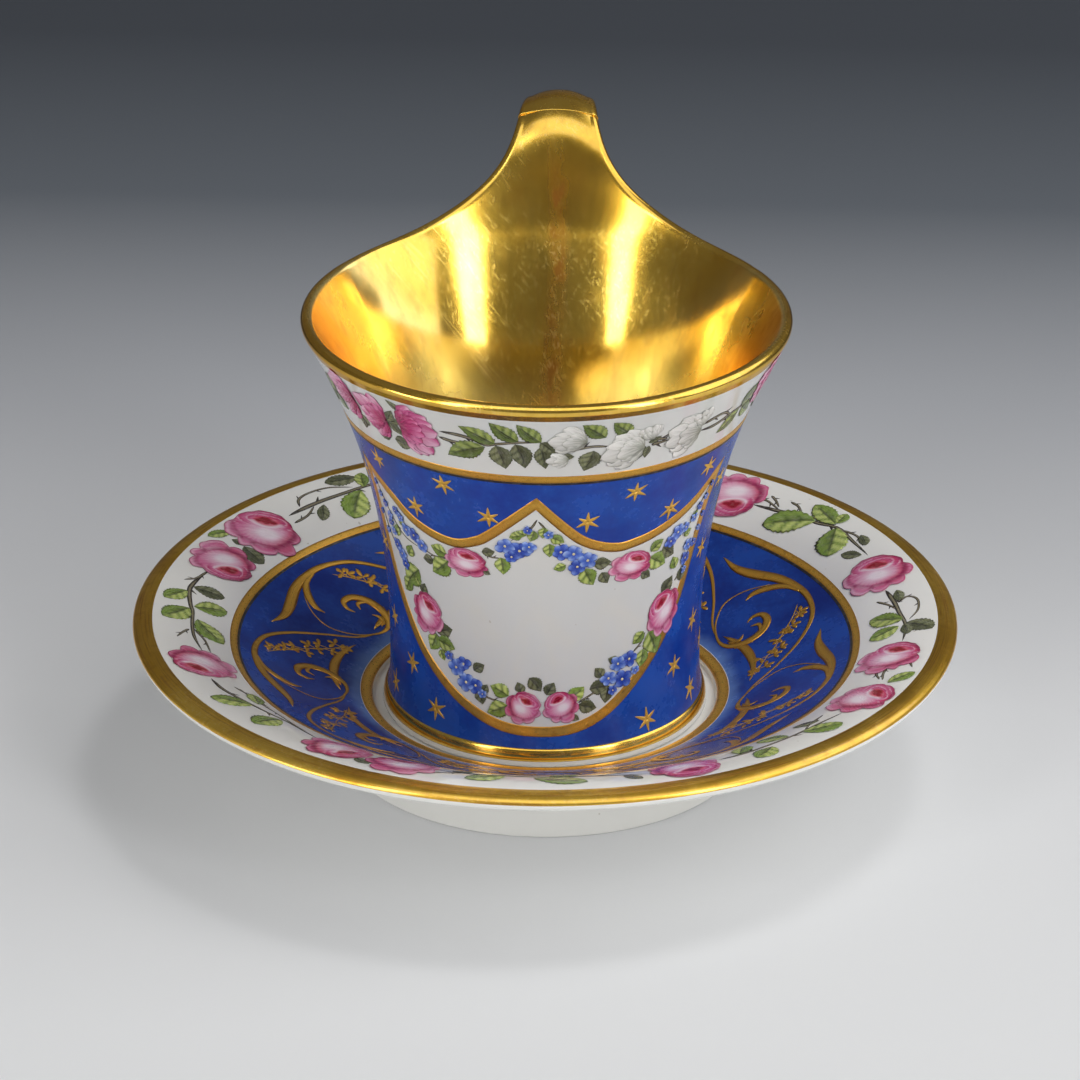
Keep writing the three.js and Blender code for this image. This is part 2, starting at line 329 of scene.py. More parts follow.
lipLean, lipHalf = math.radians(cupForm["lipLean"]), cupForm["lipWall"] / 2
lipMiddle = np.array([cupForm["lipRadius"] - lipHalf, cupForm["height"] - lipHalf])
lipHeading = np.array([math.sin(lipLean), math.cos(lipLean)])
footHalf, waistZ, jointZ = cupForm["footWall"] / 2, cupForm["waistHeight"], cupForm["jointHeight"]
waistX = cupForm["waistRadius"] - footHalf
wallRun = lipMiddle[1] - waistZ
footCurve = bezier([(cupForm["footRadius"] - footHalf, 0), (waistX, waistZ * 0.4), (waistX, waistZ)], 200)
wallCurve = bezier([(waistX, waistZ), (waistX, waistZ + wallRun * 0.2),
                    lipMiddle - lipHeading * wallRun * 0.46, lipMiddle], 1200)
apex = lipMiddle + (cupForm["apexReach"], cupForm["apexRise"])
farSide = lipMiddle + (cupForm["loopReach"], cupForm["loopRise"])
lowerJoint = np.array([np.interp(jointZ, wallCurve[:, 1], wallCurve[:, 0]), jointZ])
overhang, loopDrop = farSide[0] - apex[0], apex[1] - farSide[1]
returnDrop = farSide[1] - lowerJoint[1]
tongueCurve = bezier([lipMiddle, lipMiddle + lipHeading * cupForm["apexRise"] * 0.37,
                      apex - (cupForm["apexReach"] * 0.69, 0), apex], 600)
overCurve = bezier([apex, apex + (overhang * 0.55, 0), farSide + (0, loopDrop * 0.6), farSide], 500)
downCurve = bezier([farSide, farSide - (0, returnDrop * 0.42),
                    lowerJoint + (cupForm["loopReach"] * 0.95, returnDrop * 0.14), lowerJoint], 900)
clayLine = chain(footCurve, wallCurve, tongueCurve, overCurve, downCurve)
clayLength = lengthAlong(clayLine)
clayHeading = np.gradient(clayLine, axis=0)
clayHeading /= np.linalg.norm(clayHeading, axis=1)[:, None]
lipLength = clayLength[len(footCurve) + len(wallCurve) - 2]
seamLength = lipLength + cupForm["tongue"]


def onLine(length):
    # place, heading and inward normal on the middle line at a length from the foot
    place = np.stack([np.interp(length, clayLength, clayLine[:, k]) for k in (0, 1)], -1)
    heading = np.stack([np.interp(length, clayLength, clayHeading[:, k]) for k in (0, 1)], -1)
    heading /= np.linalg.norm(heading, axis=-1, keepdims=True)
    return place, heading, np.stack([-heading[..., 1], heading[..., 0]], -1)


def clayThickness(length):
    # from the foot's wall to the lip's, and from the lip's to the strap's
    return np.interp(length, [0, lipLength, seamLength],
                     [cupForm["footWall"], cupForm["lipWall"], cupForm["strapWall"]])


strapHalf = (cupForm["strapWidth"] - cupForm["strapWall"]) / 2


def lipHalfWidth(rise):
    # the strap's half width plus a spread that falls off with the rise above the lip
    growth = np.expm1(rise * cupForm["sharpness"] / cupForm["fall"])
    return strapHalf + cupForm["spread"] / growth ** (1 / cupForm["sharpness"])


def lipRise(distance):
    # the same curve turned round: rise at a distance along the lip from the back
    share = (cupForm["spread"] / (distance - strapHalf)) ** cupForm["sharpness"]
    return np.log1p(share) * cupForm["fall"] / cupForm["sharpness"]


def tongueCrown(length, angle):
    # the drawn-up tongue turns from hollow to crowned: a parabola across it that grows toward its end
    rise = np.maximum(length - lipLength, 0.05)
    q = np.clip(angle * onLine(length)[0][..., 0] / lipHalfWidth(rise), -1, 1)
    return cupForm["tongueCrown"] * step(rise, *cupForm["crownRise"]) * (1 - q * q)


wallLengths = np.linspace(0, lipLength, 1500)
wallPlace, _, wallInward = onLine(wallLengths)
cupOuter = wallPlace - wallInward * clayThickness(wallLengths)[:, None] / 2
cupSurface = surfaceOf(cupOuter + (0, cupForm["seat"]))


def cupHeightAt(height):
    # length up the outside of the wall at a height above the foot
    return np.interp(height, cupOuter[:, 1], cupSurface["s"])


# Panel outline on the front: angle from the front in degrees and height above the foot
panelForm = {
    "bandHalf": 0.92,
    "topRight": [(-0.5, 50.4), (5.9, 46.5), (13, 42.9), (19.7, 41.1), (26.5, 40.3), (32, 40.6), (39.2, 41.4),
                 (48.9, 43.2), (57.2, 45.5), (66.2, 49.2)],
    "under": [(66.2, 49.2), (64.0, 43), (62.2, 36.4), (58, 27.9), (50.7, 21), (40, 15.1), (25.8, 9.3),
              (13, 6.6), (-0.5, 6.1), (-12.5, 6.6), (-23.8, 8.5), (-36.5, 12.2), (-50.3, 18.2), (-61.4, 26.6),
              (-65.6, 33.2), (-66.8, 40), (-66.4, 48.8)],
    "topLeft": [(-66.4, 48.8), (-53.7, 45.2), (-46.3, 42.6), (-37.5, 40.9), (-28, 40.3), (-20.1, 41.6),
                (-15.1, 43.4), (-8.4, 46.5), (-0.5, 50.4)]}
panelRuns = [smoothPath(panelForm[key], 70) for key in ("topRight", "under", "topLeft")]
panelOutline = chain(*panelRuns)


def insidePanel(theta, height):
    # odd number of outline edges to the right of the point
    x, y = np.degrees(theta)[:, None], height[:, None]
    x0, y0 = panelOutline[:-1, 0], panelOutline[:-1, 1]
    x1, y1 = panelOutline[1:, 0], panelOutline[1:, 1]
    crosses = (y0 > y) != (y1 > y)
    cut = x0 + (y - y0) * (x1 - x0) / np.where(y1 == y0, tiny, y1 - y0)
    return (np.sum(crosses & (x < cut), 1) % 2) == 1


# Materials: each helper adds nodes to a tree and hands back the socket with the result

def startMaterial(name, metallic, coat=0.0, coatRough=0.04):
    # a new material: how metallic it is, and how strong and rough its clear coat
    material = bpy.data.materials.new(name)
    material.use_nodes = True
    shader = material.node_tree.nodes["Principled BSDF"]
    for key, value in (("Metallic", metallic), ("Coat Weight", coat), ("Coat Roughness", coatRough)):
        shader.inputs[key].default_value = value
    return material, material.node_tree, shader


def feed(tree, socket, value):
    # link a socket, or set a plain value
    if isinstance(value, bpy.types.NodeSocket):
        tree.links.new(value, socket)
    elif np.ndim(value) and len(socket.default_value) == 4:
        socket.default_value = (*value, 1)
    else:
        socket.default_value = value


def stretched(tree, stretch, stroke=False):
    # Object coordinates, or a stroke's own along and across it, times a stretch for each axis
    source = tree.nodes.new("ShaderNodeUVMap" if stroke else "ShaderNodeTexCoord")
    if stroke:
        source.uv_map = "stroke"
    mapping = tree.nodes.new("ShaderNodeMapping")
    mapping.inputs["Scale"].default_value = stretch
    tree.links.new(source.outputs["UV" if stroke else "Object"], mapping.inputs["Vector"])
    return mapping.outputs["Vector"]


def noise(tree, scale, detail, stretch=(1, 1, 1), place=None):
    # soft noise about one half, on stretched Object coordinates or at a given place
    node = tree.nodes.new("ShaderNodeTexNoise")
    for key, value in (("Scale", scale), ("Detail", detail), ("Roughness", 0.55)):
        node.inputs[key].default_value = value
    tree.links.new(stretched(tree, stretch) if place is None else place, node.inputs["Vector"])
    return node.outputs["Fac"]


def fit(tree, value, low, high, outLow, outHigh, smooth=False):
    # value from low to high becomes outLow to outHigh
    node = tree.nodes.new("ShaderNodeMapRange")
    node.interpolation_type = "SMOOTHSTEP" if smooth else "LINEAR"
    for name, number in (("From Min", low), ("From Max", high), ("To Min", outLow), ("To Max", outHigh)):
        node.inputs[name].default_value = number
    tree.links.new(value, node.inputs["Value"])
    return node.outputs["Result"]


def sums(tree, operation, a, b):
    # one sum with two numbers
    node = tree.nodes.new("ShaderNodeMath")
    node.operation = operation
    feed(tree, node.inputs[0], a)
    feed(tree, node.inputs[1], b)
    return node.outputs["Value"]


def plus(tree, a, b):
    # a + b
    return sums(tree, "ADD", a, b)


def times(tree, a, b):
    # a times b
    return sums(tree, "MULTIPLY", a, b)


def blendColour(tree, share, a, b, mode="MIX"):
    # colour a moved toward b by a share of 0 to 1
    node = tree.nodes.new("ShaderNodeMix")
    node.data_type = "RGBA"
    node.blend_type = mode
    for key, value in (("Factor", share), ("A", a), ("B", b)):
        feed(tree, node.inputs[key], value)
    return node.outputs["Result"]


def axes(tree):
    # x, y and z in metres
    coords = tree.nodes.new("ShaderNodeTexCoord")
    split = tree.nodes.new("ShaderNodeSeparateXYZ")
    tree.links.new(coords.outputs["Object"], split.inputs["Vector"])
    return split.outputs["X"], split.outputs["Y"], split.outputs["Z"]


def fromAxis(tree):
    # distance from the upright axis: root of x squared plus y squared
    x, y, _ = axes(tree)
    return sums(tree, "POWER", plus(tree, times(tree, x, x), times(tree, y, y)), 0.5)


def joined(tree, *values):
    # three numbers as one place
    node = tree.nodes.new("ShaderNodeCombineXYZ")
    for socket, value in zip(node.inputs, values):
        feed(tree, socket, value)
    return node.outputs["Vector"]


def tintOf(tree):
    # the colour that a stroke carries in its points
    node = tree.nodes.new("ShaderNodeVertexColor")
    node.layer_name = "tint"
    return node.outputs["Color"]


def seenRays(tree):
    # 1 for rays from the camera, mirrored or let through, and 0 for those that carry light to the object
    rays = tree.nodes.new("ShaderNodeLightPath")
    seen = sums(tree, "MAXIMUM", rays.outputs["Is Camera Ray"], rays.outputs["Is Glossy Ray"])
    return sums(tree, "MAXIMUM", seen, rays.outputs["Is Transmission Ray"])


def finishLook(tree, shader, tone, rough, height, strength, distance):
    # colour, roughness and a faint relief onto the shader
    feed(tree, shader.inputs["Base Color"], tone)
    feed(tree, shader.inputs["Roughness"], rough)
    node = tree.nodes.new("ShaderNodeBump")
    for key, value in (("Strength", strength), ("Distance", distance), ("Height", height)):
        feed(tree, node.inputs[key], value)
    tree.links.new(node.outputs["Normal"], shader.inputs["Normal"])


goldLook = {
    "bright": srgb(246, 203, 82), "deep": srgb(227, 178, 56), "edge": srgb(250, 214, 128),
    "scratch": srgb(255, 228, 150), "stain": srgb(150, 84, 30), "smooth": 0.10, "rimSoft": 0.18, "gloss": 0.8,
    "cloud": (55, 4), "wipe": (420, 3, (1, 1, 0.10)), "hair": (3400, 2, (1, 1, 0.03)), "slant": (1700, 1),
    "upright": (1900, 1, (1, 1, 0.025)), "topSoft": (0.074, 0.088, 0, 0.1), "wiped": 0.28, "scratched": 0.22}


def burnishedGold(name, soft=0.0, wearAndPaleness=None):
    # polished gilding: cloudy tone, wiping marks down the wall, fine scratches in two directions
    g = goldLook
    material, tree, shader = startMaterial(name, 1.0, g["gloss"], g["smooth"])
    shader.inputs["Specular Tint"].default_value = (*g["edge"], 1)
    cloud, wipe, hair, upright = (noise(tree, *g[key]) for key in ("cloud", "wipe", "hair", "upright"))
    x, y, z = axes(tree)
    across = plus(tree, times(tree, x, 0.8), times(tree, z, 0.6))
    along = sums(tree, "SUBTRACT", times(tree, z, 0.02), times(tree, x, 0.016))
    slant = noise(tree, *g["slant"], place=joined(tree, across, y, along))
    lines = fit(tree, sums(tree, "MAXIMUM", slant, upright), 0.6, 0.7, 0, 1, True)
    scratch = times(tree, lines, fit(tree, cloud, 0.4, 0.6, 0.1, 1, True))
    patches = fit(tree, cloud, 0.35, 0.65, 0, 1, True)
    tone = blendColour(tree, patches, g["deep"], g["bright"])
    low = g["smooth"] + soft
    rough = plus(tree, fit(tree, cloud, 0.3, 0.7, low, low + 0.06), fit(tree, wipe, 0.4, 0.8, 0, 0.08))
    rough = plus(tree, rough, fit(tree, z, *g["topSoft"], True))
    rough = plus(tree, rough, times(tree, scratch, 0.06))
    if wearAndPaleness:
        tone, rough = wearAndPaleness(tree, patches, tone, rough)
    tone = blendColour(tree, fit(tree, wipe, 0.5, 0.75, 0, g["wiped"]), tone, g["stain"])
    tone = blendColour(tree, times(tree, scratch, g["scratched"]), tone, g["scratch"])
    finishLook(tree, shader, tone, rough, plus(tree, cloud, times(tree, hair, 0.06)), 0.1, 0.0003)
    return material


# a paler copy of the gold, painted where the bowl's wall reflects itself: painted reflection
bowlLook = {
    "bright": srgb(249, 233, 170), "deep": srgb(241, 220, 144), "front": 0.7, "frontEnds": (0.006, 0.022),
    "frontTop": (0.078, 0.081), "sideRise": 22, "backLow": (0.048, 0.062), "backStarts": (-0.034, -0.022),
    "floor": (0.018, 0.03), "wall": (0.0388, 0.0402), "soft": 0.2, "softEnds": (0.044, 0.056),
    "wander": (150, 3, (1, 1, 0.5)), "wanderBy": (-0.0018, 0.0012), "streakHalf": (0.0004, 0.0024),
    "streakStarts": (0.018, 0.03), "streakTop": (0.096, 0.084), "patchy": (600, 3, (1, 1, 0.4)),
    "streakStain": 0.8, "streakRough": 0.2}


def paintedPaleAndWornBowl(tree, patches, tone, rough):
    # painted reflection: paler and softer where the wall mostly reflects itself: low on the back wall, higher
    # up at its sides, and on the whole front half; the paleness offsets the deeper colour of gold reflecting
    # gold.
    # A narrow worn streak wanders down the back
    b = bowlLook
    x, y, z = axes(tree)
    limit = sums(tree, "SUBTRACT", z, times(tree, times(tree, x, x), b["sideRise"]))
    front = fit(tree, y, *b["frontEnds"], b["front"], 0, True)
    front = times(tree, front, fit(tree, z, *b["frontTop"], 1, 0, True))
    back = fit(tree, limit, *b["backLow"], 1, 0, True)
    back = times(tree, back, fit(tree, y, *b["backStarts"], 0, 1, True))
    inside = times(tree, sums(tree, "MAXIMUM", back, front), fit(tree, z, *b["floor"], 0, 1, True))
    inside = times(tree, inside, fit(tree, fromAxis(tree), *b["wall"], 1, 0, True))
    # painted reflection: the paler gold laid over the wall where it reflects itself
    tone = blendColour(tree, inside, tone, blendColour(tree, patches, b["deep"], b["bright"]))
    offset = plus(tree, x, fit(tree, noise(tree, *b["wander"]), 0, 1, *b["wanderBy"]))
    narrow = fit(tree, sums(tree, "ABSOLUTE", offset, 0), *b["streakHalf"], 1, 0, True)
    span = fit(tree, y, *b["streakStarts"], 0, 1, True)
    span = times(tree, span, fit(tree, z, *b["streakTop"], 0, 1, True))
    patchy = fit(tree, noise(tree, *b["patchy"]), 0.35, 0.62, 0.35, 1)
    worn = times(tree, times(tree, narrow, span), patchy)
    tone = blendColour(tree, times(tree, worn, b["streakStain"]), tone, goldLook["stain"])
    rough = plus(tree, rough, times(tree, inside, fit(tree, limit, *b["softEnds"], b["soft"], 0, True)))
    return tone, plus(tree, rough, times(tree, worn, b["streakRough"]))


rimLook = {"streak": (2600, 3), "drawnOut": 0.03, "stain": 0.55, "rough": 0.12}


def brushedRound(tree, patches, tone, rough):
    # worn streaks that run round the rim: noise drawn out along the circle and fine across it
    x, y, _ = axes(tree)
    drawn = (times(tree, value, rimLook["drawnOut"]) for value in (x, y))
    streak = noise(tree, *rimLook["streak"], place=joined(tree, *drawn, fromAxis(tree)))
    worn = fit(tree, streak, 0.46, 0.72, 0, rimLook["stain"], True)
    tone = blendColour(tree, worn, tone, goldLook["stain"])
    return tone, plus(tree, rough, fit(tree, streak, 0.4, 0.7, 0, rimLook["rough"]))


paintLook = {
    "thin": srgb(160, 98, 30), "worn": srgb(160, 98, 34), "streak": (3, 3), "along": (5, 1.2, 1),
    "cloud": (600, 3)}


def paintedGold(name, metallic):
    # gold laid on with a brush: the stroke's own tint, streaks along it and thin places
    p = paintLook
    material, tree, shader = startMaterial(name, metallic)
    streak = noise(tree, *p["streak"], place=stretched(tree, p["along"], True))
    cloud = noise(tree, *p["cloud"])
    tone = blendColour(tree, fit(tree, streak, 0.35, 0.75, 0, 0.3), tintOf(tree), p["thin"])
    tone = blendColour(tree, fit(tree, cloud, 0.58, 0.72, 0, 0.4), tone, p["worn"])
    finishLook(tree, shader, tone, fit(tree, streak, 0.2, 0.8, 0.22, 0.40), streak, 0.15, 0.00005)
    return material


# one porcelain glaze: the cup's white is darker, painted shade for the less light on its upright wall, and
# the saucer's lighter, painted light on its open top
glazeLook = {
    "cup": (srgb(216, 217, 214), srgb(228, 228, 225)), "saucer": (srgb(236, 235, 230), srgb(246, 245, 240)),
    "specks": srgb(176, 166, 150), "coat": 0.3, "cloud": (40, 3), "speck": (900, 1), "wave": (130, 2)}


def whiteGlaze(name, deep, pale):
    # warm white porcelain: a faint waviness in the glaze and tiny specks
    g = glazeLook
    material, tree, shader = startMaterial(name, 0.0, g["coat"])
    cloud, speck, wave = (noise(tree, *g[key]) for key in ("cloud", "speck", "wave"))
    tone = blendColour(tree, cloud, deep, pale)
    tone = blendColour(tree, fit(tree, speck, 0.78, 0.82, 0, 0.5), tone, g["specks"])
    finishLook(tree, shader, tone, fit(tree, cloud, 0.3, 0.7, 0.09, 0.16), wave, 0.05, 0.0003)
    return material


clayLook = {"deep": srgb(204, 200, 190), "pale": srgb(228, 225, 216), "grain": (1400, 4)}


def bareClay():
    # unglazed foot: matt and a little grey
    material, tree, shader = startMaterial("bare_clay", 0.0)
    grain = noise(tree, *clayLook["grain"])
    tone = blendColour(tree, grain, clayLook["deep"], clayLook["pale"])
    finishLook(tree, shader, tone, fit(tree, grain, 0.2, 0.8, 0.55, 0.8), grain, 0.3, 0.00008)
    return material


blueLook = {
    "cup": {"deep": srgb(14, 54, 148), "light": srgb(30, 84, 180), "shine": 0.5},
    "saucer": {"deep": srgb(9, 42, 128), "light": srgb(26, 76, 168), "shine": 0.28},
    "faded": srgb(112, 150, 210), "fade": (31.2 * mm, 34.4 * mm), "fadeMost": 0.75, "ragged": 0.8 * mm,
    "cloud": (95, 4), "fine": (1100, 2), "uneven": (130, 3)}


def blueGround(name, faded, look):
    # cobalt enamel: cloudy from the brush, and on the saucer thinner toward the well
    b = blueLook
    material, tree, shader = startMaterial(name, 0.0)
    shader.inputs["Specular IOR Level"].default_value = look["shine"]
    mottle = plus(tree, times(tree, noise(tree, *b["cloud"]), 0.8), times(tree, noise(tree, *b["fine"]), 0.2))
    tone = blendColour(tree, fit(tree, mottle, 0.32, 0.68, 0, 1, True), look["deep"], look["light"])
    if faded:
        wander = fit(tree, noise(tree, *b["uneven"]), 0.3, 0.7, -b["ragged"], b["ragged"])
        pale = fit(tree, plus(tree, fromAxis(tree), wander), *b["fade"], b["fadeMost"], 0, True)
        tone = blendColour(tree, pale, tone, b["faded"])
    finishLook(tree, shader, tone, fit(tree, mottle, 0.3, 0.7, 0.2, 0.32), mottle, 0.06, 0.0002)
    return material


enamelLook = {
    "coat": 0.2, "streak": (2.2, 3), "along": (6, 1.1, 1), "cloud": (900, 3), "shade": (0.6, 0.52, 0.55),
    "thin": (0.82, 0.8, 0.78)}


def enamel(name, roughness):
    # flower painting: the stroke's own colour, streaked along the brush and a little uneven
    e = enamelLook
    material, tree, shader = startMaterial(name, 0.0, e["coat"])
    streak = noise(tree, *e["streak"], place=stretched(tree, e["along"], True))
    cloud = noise(tree, *e["cloud"])
    tone = blendColour(tree, fit(tree, streak, 0.35, 0.75, 0, 0.22), tintOf(tree), e["shade"], "MULTIPLY")
    tone = blendColour(tree, fit(tree, cloud, 0.5, 0.8, 0, 0.12), tone, e["thin"])
    rough = fit(tree, streak, 0.2, 0.8, roughness, roughness + 0.14)
    finishLook(tree, shader, tone, rough, streak, 0.15, 0.00005)
    return material


gold = burnishedGold("burnished_gold")
# the bowl's gold: painted paleness where the wall reflects itself, and a real worn streak
bowlGoldPaintedPale = burnishedGold("bowl_gold_painted_pale", wearAndPaleness=paintedPaleAndWornBowl)
rimGold = burnishedGold("rim_gold", goldLook["rimSoft"], brushedRound)
goldPaint = paintedGold("painted_gold", 0.75)
starGold = paintedGold("star_gold", 0.5)
scrollGold = paintedGold("scroll_gold", 0.82)
# one glaze in two copies: darker on the cup as painted shade, lighter on the saucer as painted light
cupWhitePaintedShade = whiteGlaze("cup_white_painted_shade", *glazeLook["cup"])
saucerWhitePaintedLight = whiteGlaze("saucer_white_painted_light", *glazeLook["saucer"])
clay = bareClay()
cupBlue = blueGround("cup_blue", False, blueLook["cup"])
saucerBlue = blueGround("saucer_blue", True, blueLook["saucer"])
flowerPaint = enamel("flower_enamel", 0.2)
linePaint = enamel("line_enamel", 0.25)
print("materials ready")

# Cup body: each column runs from the middle of the underside up the outside, over the edge and down inside

cupMesh = {
    "tongueColumns": 12, "flankColumns": 56, "plainColumns": 118, "firstHeight": 0.4,
    "bandRows": (3, 4, 72, 4, 14), "tongueRows": 26, "edgeRows": 11, "insideRows": 64, "insideLow": 9.0,
    "filletReach": 5.5, "filletRows": 14, "floorRows": 7}


def lipColumns():
    # half of the columns, from the back to the front: angle, rise, and the way the edge faces
    tongue, flank, plain = (cupMesh[key] for key in ("tongueColumns", "flankColumns", "plainColumns"))
    seamAngle = lipHalfWidth(cupForm["tongue"]) / onLine(seamLength)[0][0]
    centre = np.linspace(0, seamAngle, tongue, endpoint=False)
    rise = cupForm["tongue"] * (1 - np.arange(flank + 1) / (flank + 2)) ** 1.8
    flankAngle = lipHalfWidth(rise) / onLine(lipLength + rise)[0][:, 0]
    slope = (lipHalfWidth(rise * 1.01) - lipHalfWidth(rise * 0.99)) / (rise * 0.02)
    facing = np.stack([-slope, np.ones_like(slope)]) / np.hypot(slope, 1)
    facing[:, 0] = (0, 1)
    plainAngle = np.linspace(flankAngle[-1], np.pi, plain + 1)[1:]
    angle = np.r_[centre, flankAngle, plainAngle]
    rises = np.r_[np.full(tongue, cupForm["tongue"]), rise, lipRise(plainAngle * lipMiddle[0])]
    up = np.r_[np.zeros(tongue), facing[0], np.ones(plain)]
    side = np.r_[np.zeros(tongue), facing[1], np.zeros(plain)]
    back = slice(-2, 0, -1)
    return [np.r_[half, sign * half[back]] for half, sign in ((angle, -1), (rises, 1), (up, 1), (side, -1))]


def makeCup():
    # rings of columns stacked in five parts: underside, outer wall, half-round edge, inner wall, floor. The
    # walls lie half the clay's thickness either side of the middle line. A face's place gives its material
    m, b = cupMesh, cupBands
    angle, rise, up, side = lipColumns()
    columns = len(angle)
    total = lipLength + rise
    cuts = [m["firstHeight"], *b["footGold"], b["blackLine"][0], b["borderLine"][1], b["lipGold"]]
    spans = [np.linspace(low, high, rows)[:, None] for low, high, rows in zip(cuts, cuts[1:], m["bandRows"])]
    heights = chain(*spans)[:, 0]
    lengths = np.interp(heights, cupOuter[:, 1], wallLengths)
    zone = np.digitize(heights, [b["footGold"][1] - 0.6, b["blackLine"][0] + 0.9, b["lipGold"] - 0.01])
    share = np.r_[np.linspace(0, 0.985, m["tongueRows"])[1:], 1][:, None]
    outer = np.vstack([np.repeat(lengths[:, None], columns, 1), lengths[-1] + share * (total - lengths[-1])])
    place, _, inward = onLine(outer)
    wall = place + inward * (tongueCrown(outer, angle) - clayThickness(outer) / 2)[..., None]

    footEdge, recess = cupForm["footRadius"], cupForm["recess"]
    inner = footEdge - cupForm["footWidth"]
    underneath = np.array([(12, recess), (inner - 1.6, recess), (inner - 0.8, recess * 0.85),
                           (inner - 0.2, 0.35), (inner + 0.15, 0.06), (inner + 0.5, 0), (footEdge - 0.75, 0),
                           (footEdge - 0.35, 0.04), (footEdge - 0.1, 0.18)])
    standing = 5
    under = np.repeat(underneath[:, None], columns, 1)

    end, heading, endInward = onLine(total)
    half = clayThickness(total) / 2
    swing = np.pi * (np.arange(1, m["edgeRows"]) / m["edgeRows"] - 0.5)[:, None]
    out = half * np.cos(swing)
    depth = half * np.sin(swing) + tongueCrown(total, angle)
    edge = end + endInward * depth[..., None] + heading * (out * up)[..., None]

    low = np.interp(m["insideLow"], wallPlace[:, 1], wallLengths)
    down = np.r_[1, np.linspace(0.996, 0, m["insideRows"]) ** 0.9][:, None]
    inside = low + down * (total - low)
    place, _, inward = onLine(inside)
    liner = place + inward * (tongueCrown(inside, angle) + clayThickness(inside) / 2)[..., None]

    corner, level = liner[-1, 0], cupForm["floor"]
    bend = [corner, (corner[0] - 0.05, level + 0.4), (corner[0] - m["filletReach"], level)]
    fillet = bezier(bend, m["filletRows"])[1:]
    floor = chain(fillet, np.linspace(fillet[-1], (2, level), m["floorRows"]))
    base = np.repeat(floor[:, None], columns, 1)

    flat = np.concatenate([under, wall, edge, liner, base])
    turn = np.repeat(angle[None], len(flat), 0)
    first = len(under) + len(wall)
    turn[first:first + len(edge)] += out * side / end[:, 0]
    radius, high = flat[..., 0], flat[..., 1] + cupForm["seat"]
    rings = np.stack([radius * np.sin(turn), radius * np.cos(turn), high], -1)
    points, faceSets = skin(rings, (0, 0, recess + cupForm["seat"]), (0, 0, level + cupForm["seat"]))

    gilt, white, blue, bare = range(4)
    rowZone = np.full(len(flat) - 1, gilt)
    rowZone[:len(under)] = white
    rowZone[standing] = bare
    rowZone[len(under):len(under) + len(heights) - 1] = np.array([white, blue, white, gilt])[zone[:-1]]
    faceZone = np.repeat(rowZone, columns)
    middle = points[faceSets[0]].mean(1)
    theta = np.arctan2(middle[:, 0], -middle[:, 1])
    onBlue = faceZone == blue
    onBlue[onBlue] = insidePanel(theta[onBlue], middle[onBlue, 2] - cupForm["seat"])
    faceZone[onBlue] = white
    faceMaterial = np.r_[faceZone, np.repeat([white, gilt], columns)]
    materials = [bowlGoldPaintedPale, cupWhitePaintedShade, cupBlue, clay]
    piece = addPiece("cup_porcelain", points, faceSets, materials, "cup", faceMaterial)
    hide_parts("cup_body")


makeCup()

# Handle: a crowned strap carried along the same line from the tongue's end to the lower wall

handleForm = {
    "tuck": (0.36, 0.31, 0.2), "tuckDepth": -0.06, "sleeve": 0.015, "settle": (0, 0.2), "spread": (0.72, 1),
    "swell": (0.9, 1.0), "swellBy": 0.5, "sinkTop": 0.3, "sink": (0.4, 1.0), "sinkBy": 0.6, "steps": 170,
    "across": 16, "edge": 9}


def makeHandle():
    # sections across the middle line: two crowned faces and two half-round edges. The strap starts with the
    # hollow of the tongue, settles to a flat crown, and spreads and swells at its lower end
    h = handleForm
    tail = clayLength[-1]
    length = np.r_[seamLength - np.array(h["tuck"]), np.linspace(seamLength, tail, h["steps"])]
    sleeve = np.full(len(length), h["sleeve"])
    sleeve[0] = h["tuckDepth"]
    place, _, inward = onLine(length)
    run = (length - seamLength) / (tail - seamLength)
    settle = step(run, *h["settle"])
    wide = lipHalfWidth(length - lipLength) + cupForm["jointSpread"] * step(run, *h["spread"])
    thick = clayThickness(length) / 2 + sleeve + h["swellBy"] * step(run, *h["swell"])
    hollow = place[:, 0] * (1 - np.cos(wide / place[:, 0]))
    lift = hollow * settle + cupForm["tongueCrown"] - h["sinkTop"] * settle
    lift = lift - h["sinkBy"] * step(run, *h["sink"])
    settle, wide, thick, hollow, lift = (value[:, None] for value in (settle, wide, thick, hollow, lift))
    swing = np.linspace(0, np.pi, h["edge"] + 2)[1:-1]
    parts = []
    for face in (1, -1):
        t = face * np.linspace(-1, 1, h["across"])[None]
        crown = hollow * t ** 2 + lift * (1 - t ** 2)
        full = thick + settle * cupForm["strapBulge"] / 2 * (1 - t ** 2)
        parts.append((wide * t, crown + face * full))
        parts.append((face * (wide + thick * np.sin(swing)), hollow + face * thick * np.cos(swing)))
    sideways, depth = (np.concatenate(values, 1) for values in zip(*parts))
    spot = place[:, None] + inward[:, None] * depth[..., None]
    rings = np.stack([sideways, spot[..., 0], spot[..., 1] + cupForm["seat"]], -1)
    points, faceSets = skin(rings, rings[0].mean(0), rings[-1].mean(0))
    piece = addPiece("cup_strap_handle", points, faceSets, [gold], "cup")
    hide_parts("cup_handle")


makeHandle()

# Saucer: one closed outline turned about the middle

saucerForm = {
    "radius": 70, "height": 25.8, "wall": 3.2, "floor": 4.2, "edge": 1.3, "rim": 2.7, "borderWidth": 16.8,
    "borderRise": 4.6, "wellHeight": 9.3, "wellDepth": 1.6, "wellFlare": 2, "wellRadius": 29.4,
    "ringOffset": 3.4, "ringWidth": 3.2, "ringCorner": 0.55, "columns": 420, "fine": 4000}
saucerBands = {
    "wellGold": (29.5, 31.5), "blackLine": (51.95, 52.35), "foldGold": (52.3, 53.6), "rimGold": 66.65}


